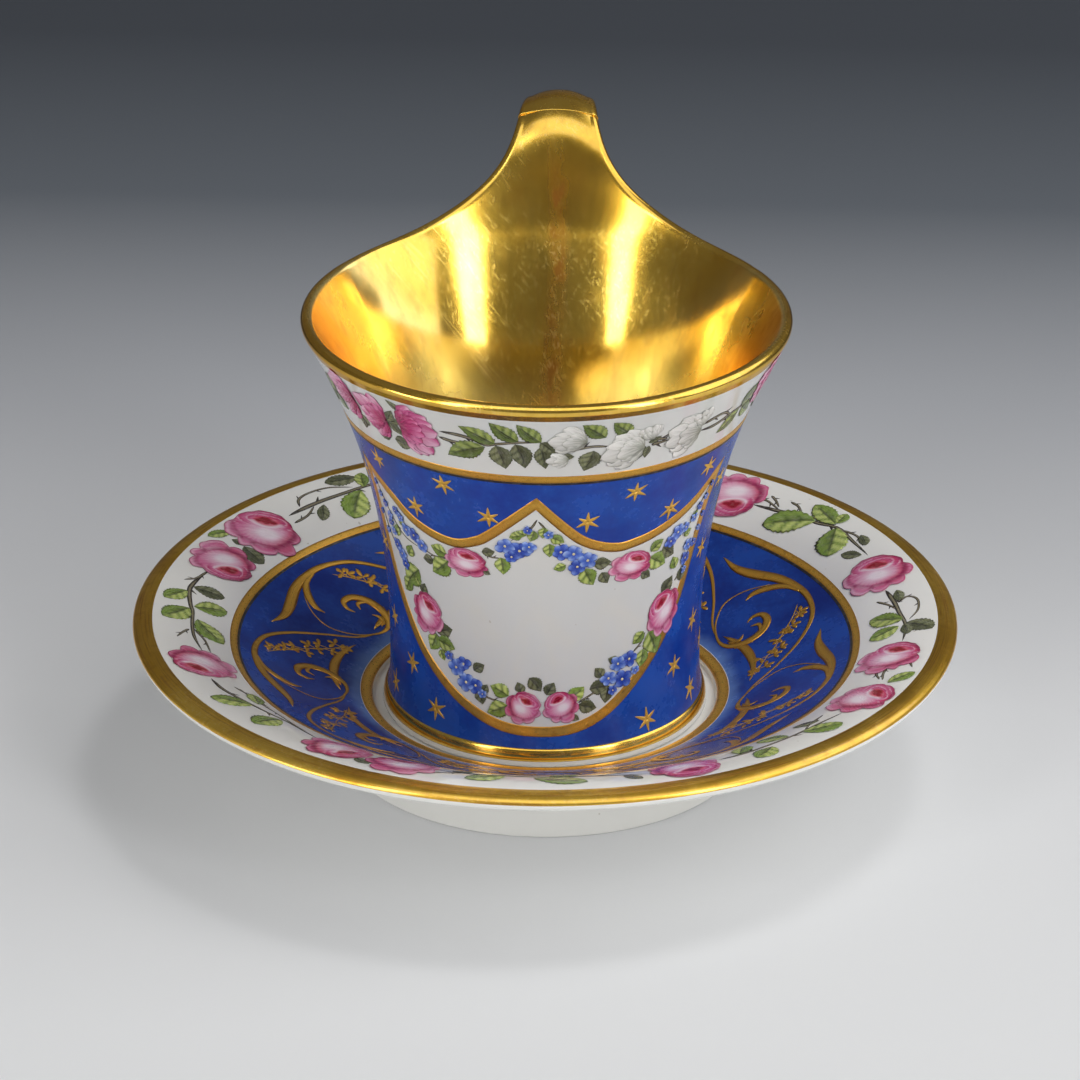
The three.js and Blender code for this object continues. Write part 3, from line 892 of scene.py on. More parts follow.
def saucerTop():
    # profile of the upper side from the middle of the well to the top of the edge: a curve for each part
    f = saucerForm
    wellX, wellZ, cove = f["wellRadius"], f["wellHeight"], f["wellDepth"] * 0.4
    wellTop = np.array([wellX + f["wellFlare"], wellZ + f["wellDepth"]])
    fold = np.array([f["radius"] - f["borderWidth"], f["height"] - f["borderRise"]])
    crest = np.array([f["radius"] - f["rim"], f["height"]])
    floor = np.linspace((0.5, wellZ), (wellX - cove, wellZ), 14)
    turn = bezier([floor[-1], (wellX, wellZ), (wellX, wellZ + cove)], 7)
    lip = bezier([turn[-1], (wellX, wellTop[1]), wellTop], 9)
    sag = wellTop[1] + (fold[1] - wellTop[1]) * 0.43
    bowl = bezier([wellTop, ((wellTop[0] + fold[0]) / 2, sag), fold], 40)
    border = bezier([fold, ((fold[0] + crest[0]) / 2, f["height"] - f["borderRise"] * 0.16), crest], 30)
    return chain(floor, turn, lip, bowl, border)


def saucerUnder():
    # from the edge's underside in to the foot ring and the recess: curves and straight runs
    f = saucerForm
    edgeX, edgeLow = f["radius"] - f["edge"], f["height"] - 2 * f["edge"]
    wellTop = (f["wellRadius"] + f["wellFlare"], f["wellHeight"] + f["wellDepth"])
    fold = (f["radius"] - f["borderWidth"], f["height"] - f["borderRise"])
    ring = wellTop[0] + f["ringOffset"]
    recess = f["wellHeight"] - f["floor"]
    foldX, foldZ = fold[0] + f["wall"] * 0.35, fold[1] - f["wall"] * 0.9
    underRing = wellTop[1] - f["wall"] * 0.75
    inner, corner, cove = ring - f["ringWidth"], f["ringCorner"], recess * 0.6
    sag = edgeLow - f["borderRise"] * 0.12
    border = bezier([(edgeX, edgeLow), ((foldX + edgeX) / 2, sag), (foldX, foldZ)], 20)
    bowl = bezier([(foldX, foldZ), ((ring + foldX) / 2, underRing + (foldZ - underRing) * 0.42),
                   (ring + 1.6, underRing + 0.7)], 30)
    foot = chain(bezier([bowl[-1], (ring, underRing), (ring, underRing - 1)], 8),
                 np.linspace((ring, underRing - 1), (ring, corner), 8),
                 bezier([(ring, corner), (ring, 0), (ring - corner, 0)], 6),
                 np.linspace((ring - corner, 0), (inner + corner, 0), 4),
                 bezier([(inner + corner, 0), (inner, 0), (inner, corner)], 6),
                 np.linspace((inner, corner), (inner, cove), 5),
                 bezier([(inner, cove), (inner, recess), (inner - recess * 0.3, recess)], 7))
    return chain(border, bowl, foot, np.linspace(foot[-1], (1, recess), 12))


topProfile = saucerTop()
fineShare, topShare = (np.linspace(0, 1, count) for count in (saucerForm["fine"], len(topProfile)))
saucerSurface = surfaceOf(np.stack([np.interp(fineShare, topShare, topProfile[:, k]) for k in (0, 1)], -1))
saucerSurface["nr"], saucerSurface["nz"] = -saucerSurface["nr"], -saucerSurface["nz"]


def saucerAt(radius):
    # length up the profile at a radius
    return np.interp(radius, saucerSurface["r"], saucerSurface["s"])


def makeSaucer():
    # the outline turned about the upright axis: upper side, a quarter ellipse over the rim, a quarter circle
    # round the brim, underside. Each face's radius and row give its material
    f = saucerForm
    cuts = [saucerBands["wellGold"][1] + 0.1, saucerBands["foldGold"][0] + 0.5, saucerBands["rimGold"]]
    top = np.vstack([topProfile, np.stack([cuts, np.interp(cuts, topProfile[:, 0], topProfile[:, 1])], -1)])
    top = top[np.lexsort((top[:, 1], top[:, 0]))]
    swing = np.linspace(0, np.pi / 2, 11)[1:, None]
    centre = np.array([f["radius"], f["height"] - f["edge"]])
    slope = centre + np.hstack([f["rim"] * (np.sin(swing) - 1), f["edge"] * np.cos(swing)])
    brim = centre + np.hstack([f["edge"] * (np.cos(swing) - 1), -f["edge"] * np.sin(swing)])
    outline = np.vstack([top, slope, brim[:-1], saucerUnder()])
    turn = np.linspace(0, 2 * np.pi, f["columns"], endpoint=False)
    radius, height = outline[:, :1], np.repeat(outline[:, 1:], len(turn), 1)
    rings = np.stack([radius * np.sin(turn), radius * np.cos(turn), height], -1)
    points, faceSets = skin(rings, (0, 0, f["wellHeight"]), (0, 0, f["wellHeight"] - f["floor"]))
    away, level = ((outline[:-1] + outline[1:]) / 2).T
    row = np.arange(len(away))
    white, blue, gilt, bare = range(4)
    zone = np.full(len(away), white)
    onTop = row < len(top) - 1
    zone[onTop & (away > cuts[0]) & (away < cuts[1])] = blue
    zone[onTop & (away > cuts[2])] = gilt
    zone[~onTop & (row < len(top) + len(slope) - 1)] = gilt
    zone[level < 0.02] = bare
    faceMaterial = np.r_[np.repeat(zone, f["columns"]), np.full(2 * f["columns"], white)]
    materials = [saucerWhitePaintedLight, saucerBlue, rimGold, clay]
    piece = addPiece("saucer_porcelain", points, faceSets, materials, "saucer", faceMaterial)
    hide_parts("saucer")


makeSaucer()

# Gilt bands and black lines, as low raised rings

bandMesh = {"across": 7, "columns": 360, "streaks": 60}


def closedBand(surface, theta, s, lift, rise):
    # low arched band that closes on itself: rows across it from one side to the other, columns along it
    across, columns = s.shape
    arch = lift + rise * np.sin(np.pi * np.linspace(0, 1, across)) ** 0.5
    theta, s = (np.vstack([value, value[[-1, 0]]]) for value in (theta, s))
    rings = onSurface(surface, theta, s, np.r_[arch, sunk, sunk][:, None])
    faces = ringFaces(across + 2, columns)
    here = np.arange(columns)
    last = (across + 1) * columns
    close = np.stack([last + here, last + (here + 1) % columns, (here + 1) % columns, here], -1)
    smooth = np.r_[np.arange(len(faces)) < (across - 1) * columns, np.zeros(columns, bool)]
    return rings.reshape(-1, 3), np.vstack([faces, close]), smooth


def addBands(name, surface, bands, material, body, slot, lift, rise, middle, side):
    # closed bands as one piece, their colour running from the middle to the sides
    parts = [closedBand(surface, theta, s, lift, rise) for theta, s in bands]
    jumps = np.r_[0, np.cumsum([len(part[0]) for part in parts])[:-1]]
    points, smooth = (np.concatenate([part[k] for part in parts]) for k in (0, 2))
    faces = np.concatenate([outward(part[0], [part[1]])[0] + jump for part, jump in zip(parts, jumps)])
    q = np.linspace(-1, 1, bandMesh["across"])
    section = mix(np.zeros((len(q) + 2, 3)) + middle, side, np.abs(np.r_[q, 1, 1]) ** 2)
    counts = [s.shape[1] for theta, s in bands]
    tint = np.concatenate([np.repeat(section, count, 0) for count in counts])
    u = np.concatenate([np.repeat(np.r_[q, 1, -1] * 0.5, count) for count in counts])
    v = np.concatenate([np.tile(np.linspace(0, bandMesh["streaks"], count), len(q) + 2) for count in counts])
    uv = np.stack([u, v], -1)
    return addPiece(name, points, [faces], [material], body, tint=tint, uv=uv, smooth=smooth)


def levelBands(along, bands):
    # level bands between two heights or radii each, all the way round
    turn = np.linspace(0, 2 * np.pi, bandMesh["columns"], endpoint=False)
    share = np.linspace(0, 1, bandMesh["across"])[:, None]
    ends = [along(np.array(band, float)) for band in bands]
    return [(turn + 0 * share, low + (high - low) * share + 0 * turn) for low, high in ends]


lineBlack = srgb(28, 26, 30)
giltTone, giltRim = srgb(248, 198, 88), srgb(204, 144, 54)
giltPaint, giltEdged = plainPaint(giltTone, giltTone, giltTone), plainPaint(giltTone, giltTone, giltRim)
gilded, inked = (giltTone, giltRim), (lineBlack, lineBlack)
onCup, onSaucer = (cupSurface, cupHeightAt, "cup", "cup_body"), (saucerSurface, saucerAt, "saucer", "saucer")
for name, (surface, along, body, slot), bands, material, lift, rise, tones in (
        ("cup_foot_band", onCup, [cupBands["footGold"]], gold, 0.02, 0.22, gilded),
        ("cup_gilt_line", onCup, [cupBands["borderLine"]], goldPaint, 0.02, 0.02, gilded),
        ("cup_black_line", onCup, [cupBands["blackLine"]], linePaint, 0.03, 0.02, inked),
        ("saucer_gilt_lines", onSaucer, [saucerBands["wellGold"], saucerBands["foldGold"]], goldPaint,
         0.02, 0.02, gilded),
        ("saucer_black_line", onSaucer, [saucerBands["blackLine"]], linePaint, 0.03, 0.02, inked)):
    addBands(name, surface, levelBands(along, bands), material, body, slot, lift, rise, *tones)

# Gilt stars and the panel's border

starForm = {
    "rays": 6, "reach": 2.25, "half": 0.46, "uneven": 0.08, "backFrom": 85, "backTo": 264, "apart": 27,
    "front": [(-55, 51.8), (-28.4, 52), (-41.6, 45.3), (-15.1, 46.8), (14.9, 46.3), (29, 51.2), (43.7, 45.5),
              (57.7, 51.1), (71.8, 45.7), (70.4, 32.6), (70.6, 18.9), (57.4, 12.9), (42.5, 5.4), (70.5, 6.2),
              (-69.9, 18.6), (-54.9, 12.9), (-41.4, 6.7), (-72, 46), (-71, 32.6), (-70.3, 6.2)],
    "backRows": [(51.5, 0), (45.3, 1), (38.5, 0), (32, 1), (25.3, 0), (18.7, 1), (12.5, 0), (6.3, 1)]}


def makeStars():
    # six pointed rays about each place, a little uneven in turn and length; every second row behind is offset
    f = starForm
    turns = np.arange(f["backFrom"], f["backTo"], f["apart"])
    rows = [(angle + f["apart"] / 2 * odd, height) for height, odd in f["backRows"] for angle in turns]
    places = np.array(f["front"] + rows)
    theta, up = np.radians(places[:, :1]), cupHeightAt(places[:, 1:])
    heading = np.pi / 2 + np.arange(f["rays"])[None] * 2 * np.pi / f["rays"]
    heading = heading + rng.normal(0, f["uneven"], (len(places), 1))
    length = f["reach"] * (1 + rng.normal(0, f["uneven"], (len(places), f["rays"])))
    rays = dabs(cupSurface, theta, up, 0, 0, heading, length, f["half"], 0.03, rayShape, giltPaint,
                dome=0.03, steps=7)
    addStrokes("cup_gilt_stars", cupSurface, [rays], starGold, "cup")


makeStars()


def makePanelBorder():
    # one closed line round the panel, mitred at its three corners
    theta, s = np.radians(panelOutline[:-1, 0]), cupHeightAt(panelOutline[:-1, 1])
    radius = np.interp(s, cupSurface["s"], cupSurface["r"])
    du, dv = (np.roll(theta, -1) - theta) * radius, np.roll(s, -1) - s
    length = np.hypot(du, dv)
    normal = np.stack([-dv / length, du / length], -1)
    mitre = normal + np.roll(normal, 1, 0)
    mitre /= np.linalg.norm(mitre, axis=1, keepdims=True)
    wide = panelForm["bandHalf"] / np.clip(np.sum(mitre * normal, 1), 0.5, 1)
    q = np.linspace(-1, 1, bandMesh["across"])[:, None]
    line = (theta + q * wide * mitre[:, 0] / radius, s + q * wide * mitre[:, 1])
    addBands("cup_panel_border", cupSurface, [line], goldPaint, "cup", "cup_body", 0.03, 0.03, *gilded)


makePanelBorder()

# Flowers and leaves

roseTones = {
    "white": srgb(250, 234, 242), "pale": srgb(236, 184, 207), "pink": srgb(217, 112, 159),
    "rose": srgb(194, 60, 115), "magenta": srgb(144, 24, 78), "heart": srgb(150, 14, 40),
    "coral": srgb(208, 58, 88)}
roseForm = {
    "rings": 30, "columns": 96, "gaps": (-156, -112, -66, 64, 110, 154),
    "sizes": (1.0, 1.0, 0.9, 0.98, 1.02, 1.0), "drawIn": 0.15, "ball": (0.74, 0.80), "shift": 0.14,
    "heart": (0.26, 0.42), "heartAt": 0.4, "dome": 0.05,
    "dabs": [(-0.1, -0.52, 0.5), (0.2, 0.05, 0.46), (-0.2, 0.55, 0.42), (0.55, -0.2, 0.36),
             (-0.55, 0.0, 0.26)]}


def rosePetals(angle, edges, sizes, swirl):
    # angle to the nearest gap between outer petals, and the outline: round petals of uneven size, drawn in
    # at the gaps
    turn = (angle[..., None] - edges) % (2 * np.pi)
    gap = np.minimum(turn, 2 * np.pi - turn).min(-1)
    size = np.take_along_axis(np.broadcast_to(sizes, turn.shape), turn.argmin(-1)[..., None], -1)[..., 0]
    spread = 1 - (1 - np.clip(gap / 0.38, 0, 1)) ** 2.2
    frayed = 1 + 0.012 * np.sin(11 * angle + 2 * swirl) + 0.008 * np.sin(19 * angle - swirl)
    return gap, (size * spread + 0.95 * (1 - spread)) * (1 - roseForm["drawIn"] * (1 - spread)) * frayed


def rosePaint(x, y, edges, sizes, swirl):
    # a full-blown rose that faces +x: loose outer petals at its sides and under it, a ball with a dark
    # contour and a pale bowl, petals wrapped round the heart and dark dabs in it
    c, f = roseTones, roseForm
    bare = np.zeros(x.shape + (3,))
    angle, away = np.arctan2(y, x), np.hypot(x, y)
    gap, edge = rosePetals(angle, edges, sizes, swirl)
    lean = np.sin(swirl)
    bx, by = (x - f["shift"]) / f["ball"][0], y / f["ball"][1]
    turn = np.arctan2(by, bx)
    ball = np.hypot(bx, by) * (1 + 0.03 * np.sin(3 * turn + swirl) + 0.02 * np.sin(5 * turn - 2 * swirl))
    dark = step(np.cos(turn - 1.6 * np.sign(lean)), -0.4, 0.9)
    outer = mix(bare + c["pale"], c["pink"], 0.85 * step(away / edge, 0.55, 0.8) + 0.45 * dark)
    outer = mix(outer, c["pale"], 0.8 * step(away / edge, 0.82, 0.92) * (1 - 0.5 * dark))
    outer = mix(outer, c["rose"], 0.75 * step(away / edge, 0.93, 1.0) + 0.3 * dark)
    outer = mix(outer, c["coral"], 0.4 * dark * step(away / edge, 0.98, 0.8))
    outer = mix(outer, c["magenta"], 0.8 * step(ball, 1.2, 1.0) * (0.55 + 0.45 * dark))
    outer = mix(outer, c["magenta"], 0.75 * (1 - step(gap, 0.03, 0.16)) * step(away / edge, 1.02, 0.8))
    strokes = step(np.sin(26 * turn + 4 * np.sin(3 * turn + swirl) + 3 * ball), 0.1, 1)
    bowl = np.hypot(1.05 * (bx + 0.32), 0.82 * (by - 0.12 * lean))
    body = mix(bare + c["white"], c["pale"], step(bowl, 0.16, 0.46))
    body = mix(body, c["pink"], 0.9 * step(bowl, 0.4, 0.82) + 0.4 * strokes * step(bowl, 0.3, 0.7))
    shade = 0.7 * step(bowl, 0.66, 1.0) * (0.35 + 0.65 * dark) + 0.45 * dark * step(ball, 0.6, 0.95)
    body = mix(body, c["rose"], shade)
    body = mix(body, c["coral"], 0.55 * dark * step(ball, 0.62, 0.95))
    hx, hy = (bx - f["heartAt"]) / f["heart"][0], (by - 0.08 * lean) / f["heart"][1]
    inner = np.hypot(hx, hy) * (1 + 0.07 * np.sin(3 * np.arctan2(hy, hx) + swirl))
    fold = (inner * 1.55 + 0.18 * np.sin(2 * np.arctan2(hy, hx) + swirl)) % 1
    far = step(bx + 0.25 * np.abs(by), 0.1, 0.42) * step(inner, 0.95, 1.1)
    body = mix(body, c["rose"], 0.85 * far * step(fold, 0.45, 0.9))
    body = mix(body, c["pale"], 0.8 * far * step(fold, 0.3, 0.1))
    body = mix(body, c["white"], 0.75 * step(inner, 1.5, 1.25) * step(hx, 0.1, -0.5))
    body = mix(body, c["coral"], 0.9 * step(inner, 1.2, 0.8))
    blots = sum(np.exp(-((hx - px) ** 2 + (hy - py) ** 2) / (0.85 * size) ** 2) for px, py, size in f["dabs"])
    body = mix(body, c["heart"], step(blots, 0.35, 0.8))
    body = mix(body, c["pale"], 0.65 * step(blots, 0.3, 0.05) * step(inner, 0.95, 0.6))
    body = mix(body, c["magenta"], 0.9 * step(ball, 0.87, 0.96) * (0.5 + 0.5 * dark))
    return mix(outer, body, step(ball, 1.02, 0.98))


def rose(surface, theta, s, wide, high, turn, lift):
    # one thin round patch for each rose: rings about its middle out to the petals' outline, and its paint
    f = roseForm
    count, rings, columns = len(theta), f["rings"], f["columns"]
    spread = (count, 1, 1, len(f["gaps"]))
    edges = np.radians(f["gaps"]) + rng.normal(0, 0.1, spread)
    sizes = np.array(f["sizes"]) + rng.normal(0, 0.03, spread)
    swirl = rng.uniform(0, 6, (count, 1, 1))
    angle = np.broadcast_to(np.linspace(-np.pi, np.pi, columns, endpoint=False), (count, 1, columns))
    share = (np.arange(rings) + 1)[None, :, None] / rings
    far = share * rosePetals(angle, edges, sizes, swirl)[1]
    x, y = far * np.cos(angle), far * np.sin(angle)
    tint = rosePaint(x, y, edges, sizes, swirl)
    values = (theta, s, wide, high, turn)
    theta, s, wide, high, turn = (np.asarray(value, float)[:, None, None] for value in values)
    u, v = wide * (x * np.cos(turn) - y * np.sin(turn)), high * (x * np.sin(turn) + y * np.cos(turn))
    radius = np.interp(s, surface["s"], surface["r"])
    grid = onSurface(surface, theta + u / radius, s + v, lift + f["dome"] * (1 - share ** 2) + 0 * u)
    poles = onSurface(surface, theta + np.zeros((1, 1, 2)), s, np.array([lift + f["dome"], sunk]))
    points = np.concatenate([grid.reshape(count, -1, 3), poles[:, 0]], 1)
    tint = np.concatenate([tint.reshape(count, -1, 3), tint[:, 0, :1], tint[:, -1, :1]], 1)
    uv = np.stack([x, y], -1).reshape(count, -1, 2) * 0.5 + swirl
    uv = np.concatenate([uv, uv[:, :2]], 1)
    smooth = np.ones((rings - 1) * columns, bool)
    return strokeParts(points, tint, uv, rings, columns, smooth, np.repeat([True, False], columns))


leafTones = {
    "green": (srgb(200, 212, 122), srgb(128, 156, 66), srgb(54, 68, 36)),
    "olive": (srgb(160, 174, 94), srgb(104, 124, 58), srgb(46, 54, 32)),
    "dusk": (srgb(130, 134, 98), srgb(92, 97, 68), srgb(46, 49, 37))}


def leafPaint(light, mid, dark, veins):
    # light half and shaded half, thin dark midrib and side veins, dark dabs at the teeth and the tip
    def paint(t, q):
        t, q = np.broadcast_arrays(t[:, None], q[None])
        away = np.abs(q)
        shade = 0.9 * step(q, -0.15, 0.35) + 0.4 * step(t, 0.6, 1.0)
        colour = mix(np.zeros(t.shape + (3,)) + light, mid, shade)
        stroke = np.abs(((t * veins - 0.8 * away) % 1) - 0.5) * 2
        colour = mix(colour, mid, 0.8 * step(stroke, 0.3, 0.8))
        colour = mix(colour, dark, 0.6 * step(stroke, 0.7, 1.0) * step(away, 0.95, 0.3) * step(t, 0.03, 0.15))
        colour = mix(colour, dark, 0.55 * step(q, 0.0, 0.12) * step(q, 0.7, 0.2) * step(t, 0.9, 0.3))
        colour = mix(colour, dark, 0.9 * step(away, 0.2, 0.05) * step(t, 1.0, 0.7))
        teeth = step(np.sin(t * veins * 2 * np.pi + 1.2 * np.sign(q)), 0.1, 0.9)
        return mix(mix(colour, dark, 0.8 * step(away, 0.7, 0.97) * teeth), dark, 0.6 * step(t, 0.88, 1.0))
    return paint


leafForm = {"broadest": 9, "least": 0.26, "most": 0.4, "curl": (0.1, 0.4), "teeth": 0.07, "stacked": 0.004}


def leaf(surface, rows, tones, shape, lift, veins=4.0):
    # leaves between two points each, with a toothed edge: the half width goes up and down from row to row
    f = leafForm
    theta, s, thetaEnd, sEnd, half = rows.T
    heading, length = reach(surface, theta, s, thetaEnd, sEnd)
    half = np.clip(half, f["least"] * length, f["most"] * length)
    curl = rng.uniform(*f["curl"], len(rows)) * rng.choice([-1, 1], len(rows))
    toothed = lambda t: shape(t) * (1 + f["teeth"] * (-1.0) ** np.arange(len(t)))
    level = lift + f["stacked"] * np.arange(len(rows))
    return [dabs(surface, theta, s, 0, 0, heading - curl / 2, length, half, level, toothed,
                 leafPaint(*leafTones[tones], veins), curl, 0.03, 19, 11)]


petalTones = {
    "pink": (srgb(152, 26, 86), srgb(214, 96, 154), srgb(240, 186, 213), srgb(176, 50, 112)),
    "white": (srgb(158, 160, 142), srgb(226, 225, 219), srgb(240, 239, 234), srgb(136, 136, 124)),
    "pinkDeep": (srgb(130, 16, 66), srgb(190, 54, 116), srgb(226, 132, 178), srgb(150, 28, 88)),
    "whiteDeep": (srgb(132, 136, 116), srgb(206, 206, 198), srgb(234, 233, 228), srgb(128, 130, 116)),
    "blue": (srgb(36, 58, 150), srgb(84, 122, 214), srgb(176, 200, 244), srgb(58, 90, 190)),
    "deepBlue": (srgb(28, 44, 128), srgb(56, 88, 190), srgb(122, 154, 228), srgb(40, 66, 164))}
eyeYellow = srgb(240, 226, 170)


def petalPaint(root, body, tip, line, lines=11):
    # dark at the root, fine lines running out from it, lighter toward the tip, one shaded side, a thin edge
    def paint(t, q):
        t, q = np.broadcast_arrays(t[:, None], q[None])
        colour = mix(np.zeros(t.shape + (3,)) + body, tip, step(t, 0.35, 0.9) * step(q, 0.7, -0.5))
        colour = mix(colour, root, 0.85 * step(t, 0.42, 0.0) + 0.4 * step(q, 0.3, 1.0) * (lines > 0))
        hair = 0.5 + 0.5 * np.sin(q * lines + 2.5 * t)
        colour = mix(colour, line, 0.75 * step(hair, 0.55, 1.0) * step(t, 0.95, 0.2))
        return mix(colour, line, 0.55 * step(np.abs(q), 0.84, 1.0))
    return paint


fanForm = {
    "outerShort": 0.2, "uneven": 0.07, "ruffle": (0.1, 17), "inner": 0.66, "innerTurn": 0.13,
    "innerLift": 0.1, "half": 0.26, "curl": 0.25}


def fans(surface, along, rows, tones, lift):
    # ruffled flowers seen from the side: petals spread about a heading from one root, the outer ones first,
    # and a shorter, deeper set over them
    f = fanForm
    deep, waves = f["ruffle"]
    strokes = []
    for theta, height, heading, spread, length, count in rows:
        share = np.linspace(-1, 1, int(count))
        share = share[np.argsort(-np.abs(share), kind="stable")]
        turn = np.radians(heading + spread * share) + rng.normal(0, f["uneven"], len(share))
        long = length * (1 - f["outerShort"] * np.abs(share)) * (1 + rng.normal(0, f["uneven"], len(share)))
        ruffled = lambda t: petalShape(t) * (1 + deep * np.sin(waves * t + length))
        for row, (size, key) in enumerate(((1.0, tones), (f["inner"], tones + "Deep"))):
            level = lift + 0.01 * np.arange(len(share)) + f["innerLift"] * row
            reached = long * size
            strokes.append(dabs(surface, np.radians(theta), along(height), 0, 0, turn + f["innerTurn"] * row,
                                reached, f["half"] * reached, level, ruffled, petalPaint(*petalTones[key]),
                                f["curl"] * np.sign(share), 0.03, 15, 13))
    return strokes


blueForm = {"petals": 5, "turn": 0.12, "uneven": 0.08, "half": 0.46, "eye": 0.14}


def blueFlower(surface, theta, s, radius, lift):
    # five round petals, dark at the root and pale at the rim, and a pale eye; every second flower is deeper
    f = blueForm
    count, strokes = f["petals"], []
    for first, tones in ((0, "blue"), (1, "deepBlue")):
        at, up, size = (value[first::2, None] for value in (theta, s, radius))
        turn = rng.uniform(0, 2 * np.pi, at.shape) + 2 * np.pi * np.arange(count)[None] / count
        turn = turn + rng.normal(0, f["turn"], (len(at), count))
        long = size * (1 + rng.normal(0, f["uneven"], turn.shape))
        level = lift + 0.01 * np.arange(len(at))[:, None]
        petals, eye = petalPaint(*petalTones[tones], 3), plainPaint(eyeYellow, eyeYellow, eyeYellow)
        strokes.append(dabs(surface, at, up, 0, 0, turn, long, f["half"] * size, level, petalShape, petals,
                            steps=9, across=7))
        half = f["eye"] * size
        strokes.append(dabs(surface, at, up, -half, 0, 0, 2 * half, half, level + 0.02, ovalShape, eye,
                            steps=6))
    return strokes


stemForm = {
    "dark": srgb(60, 54, 47), "light": srgb(136, 128, 102), "points": 24, "thorns": (6, 14), "thornTurn": 0.8,
    "lift": 0.02}


def stems(surface, along, runs, half):
    # tapering dark stems through a few points each, with a lighter stroke along the middle and small thorns
    f = stemForm
    strokes, lift = [], f["lift"]
    t = np.linspace(0, 1, f["points"])
    dark, pale = (plainPaint(tone, tone, tone) for tone in (f["dark"], f["light"]))
    wide = half * (1.1 - 0.5 * t) * lineShape(t)
    at = np.array(f["thorns"])
    for run in runs:
        path = smoothPath(run, f["points"])
        theta, s = np.radians(path[:, 0]), along(path[:, 1])
        strokes.append(ribbon(theta, s, wide, lift, dark, 0.02))
        strokes.append(ribbon(theta[2:-2], s[2:-2], 0.42 * wide[2:-2], lift + 0.03, pale, 0.01))
        heading, _ = reach(surface, theta[at], s[at], theta[at + 1], s[at + 1])
        side = heading + f["thornTurn"] * np.where(np.arange(len(at)) % 2, 1, -1)
        strokes.append(dabs(surface, theta[at], s[at], 0, 0, side, 4.2 * half, 0.7 * half, lift, rayShape,
                            dark, steps=6))
    return strokes


def tableRows(along, rows):
    # rows in degrees and millimetres as surface coordinates; a leaf without a width is as broad as it may be
    rows = np.array([(*row, leafForm["broadest"])[:5] for row in rows], float)
    theta, up, thetaEnd, upEnd, half = rows.T
    return np.stack([np.radians(theta), along(up), np.radians(thetaEnd), along(upEnd), half], -1)


def turned(rows, shift, scale):
    # the same motifs further round: both angles of a row times a scale, plus a shift
    rows = np.array(rows, float)
    rows[:, [0, 2]] = rows[:, [0, 2]] * scale + shift
    return rows


# Garland round the cup's border: root angle, root height, end angle, end height, half width. The front part
# is as seen, and the same part, a little closer together, goes on behind to the left and to the right

cupGarland = {
    "parts": [(0, 1.0), (122, 0.86), (-122, 0.86)], "stemHalf": 0.42,
    "green": [(-10.4, 62.8, -19.2, 65.9, 1.74), (-13.2, 61.9, -24.2, 58.9, 1.71),
              (-4.5, 63.7, -11.2, 67.6, 1.74), (1.1, 63.7, -4.7, 67.6, 1.63), (16.9, 64.2, 10.7, 67.4, 1.66),
              (23.7, 64.3, 18.1, 67.4, 1.52), (61.1, 61.8, 53.7, 58.6, 1.5), (61.4, 62.2, 67.4, 65.5, 1.8),
              (63, 61.6, 69.5, 59.6, 1.6)],
    "dusk": [(-10.3, 62.5, -8.4, 57.5, 2.02), (-5.4, 63.1, -3.2, 57.9, 1.84), (1.1, 62.7, 2.2, 57.9, 1.45),
             (1.1, 63.3, 5.1, 61.4, 1.16), (14.3, 61.5, 12.3, 57.2, 2.16), (-51, 59.4, -55.7, 60.6, 1.6),
             (-47.4, 58.6, -42.4, 59.9, 1.7), (-41.3, 58.9, -35.4, 58.5, 1.5),
             (-34.6, 66.2, -38.4, 67.9, 0.7), (0.8, 63.6, 4.6, 61.3, 1.35), (6.2, 60.6, 9.5, 60.5, 0.9),
             (28.4, 61, 26.4, 58, 0.9), (29, 61.6, 32.4, 62.6, 0.7), (45.5, 61.3, 43, 59.2, 0.7),
             (-41.6, 62.8, -38.2, 65.6, 0.6), (-41.4, 62.6, -37, 60.4, 0.7), (-40, 62.9, -36.6, 63.7, 0.8),
             (-53.4, 60.5, -54, 58.2, 0.9), (-42.4, 61.1, -46.2, 58, 0.9), (27.4, 62.4, 24.4, 63.6, 0.7),
             (29.4, 60.9, 29, 58.4, 0.7), (44.6, 62.6, 41.6, 63.8, 0.7)],
    "white": [(12.4, 63.8, 176, 38, 6.4, 7), (8, 60.2, 190, 30, 3.6, 5), (28, 61.2, 182, 40, 7.6, 8),
              (30, 62.4, 112, 36, 4.2, 6), (45.4, 61.4, 178, 46, 7.6, 8), (45.6, 62.4, 118, 34, 4.4, 6)],
    "pink": [(-53, 64.6, 186, 58, 7.4, 8), (-41.6, 62.8, 174, 62, 6.8, 9), (-37.2, 63, -4, 56, 8.0, 10)],
    "stem": [[(-25, 63.8), (-20.2, 63.8), (-16.1, 63.3), (-12.9, 62.4), (-10.2, 62.8), (-4.3, 63.5),
              (0.4, 63.6)], [(-25.5, 62.5), (-22, 62.1), (-16.9, 62), (-13, 61.9)],
             [(0.6, 63.4), (4.6, 61.8), (9.5, 62), (14.1, 62.4), (19, 62)], [(29.6, 62.2), (34.6, 61.6)],
             [(30, 61), (34.8, 61.2)], [(45.5, 62.3), (52.7, 62.9), (57, 61.6)],
             [(45.4, 61), (51, 60.9), (56.8, 61.7), (61.7, 62), (67, 61.8), (73, 62.6), (80, 62.2)]]}


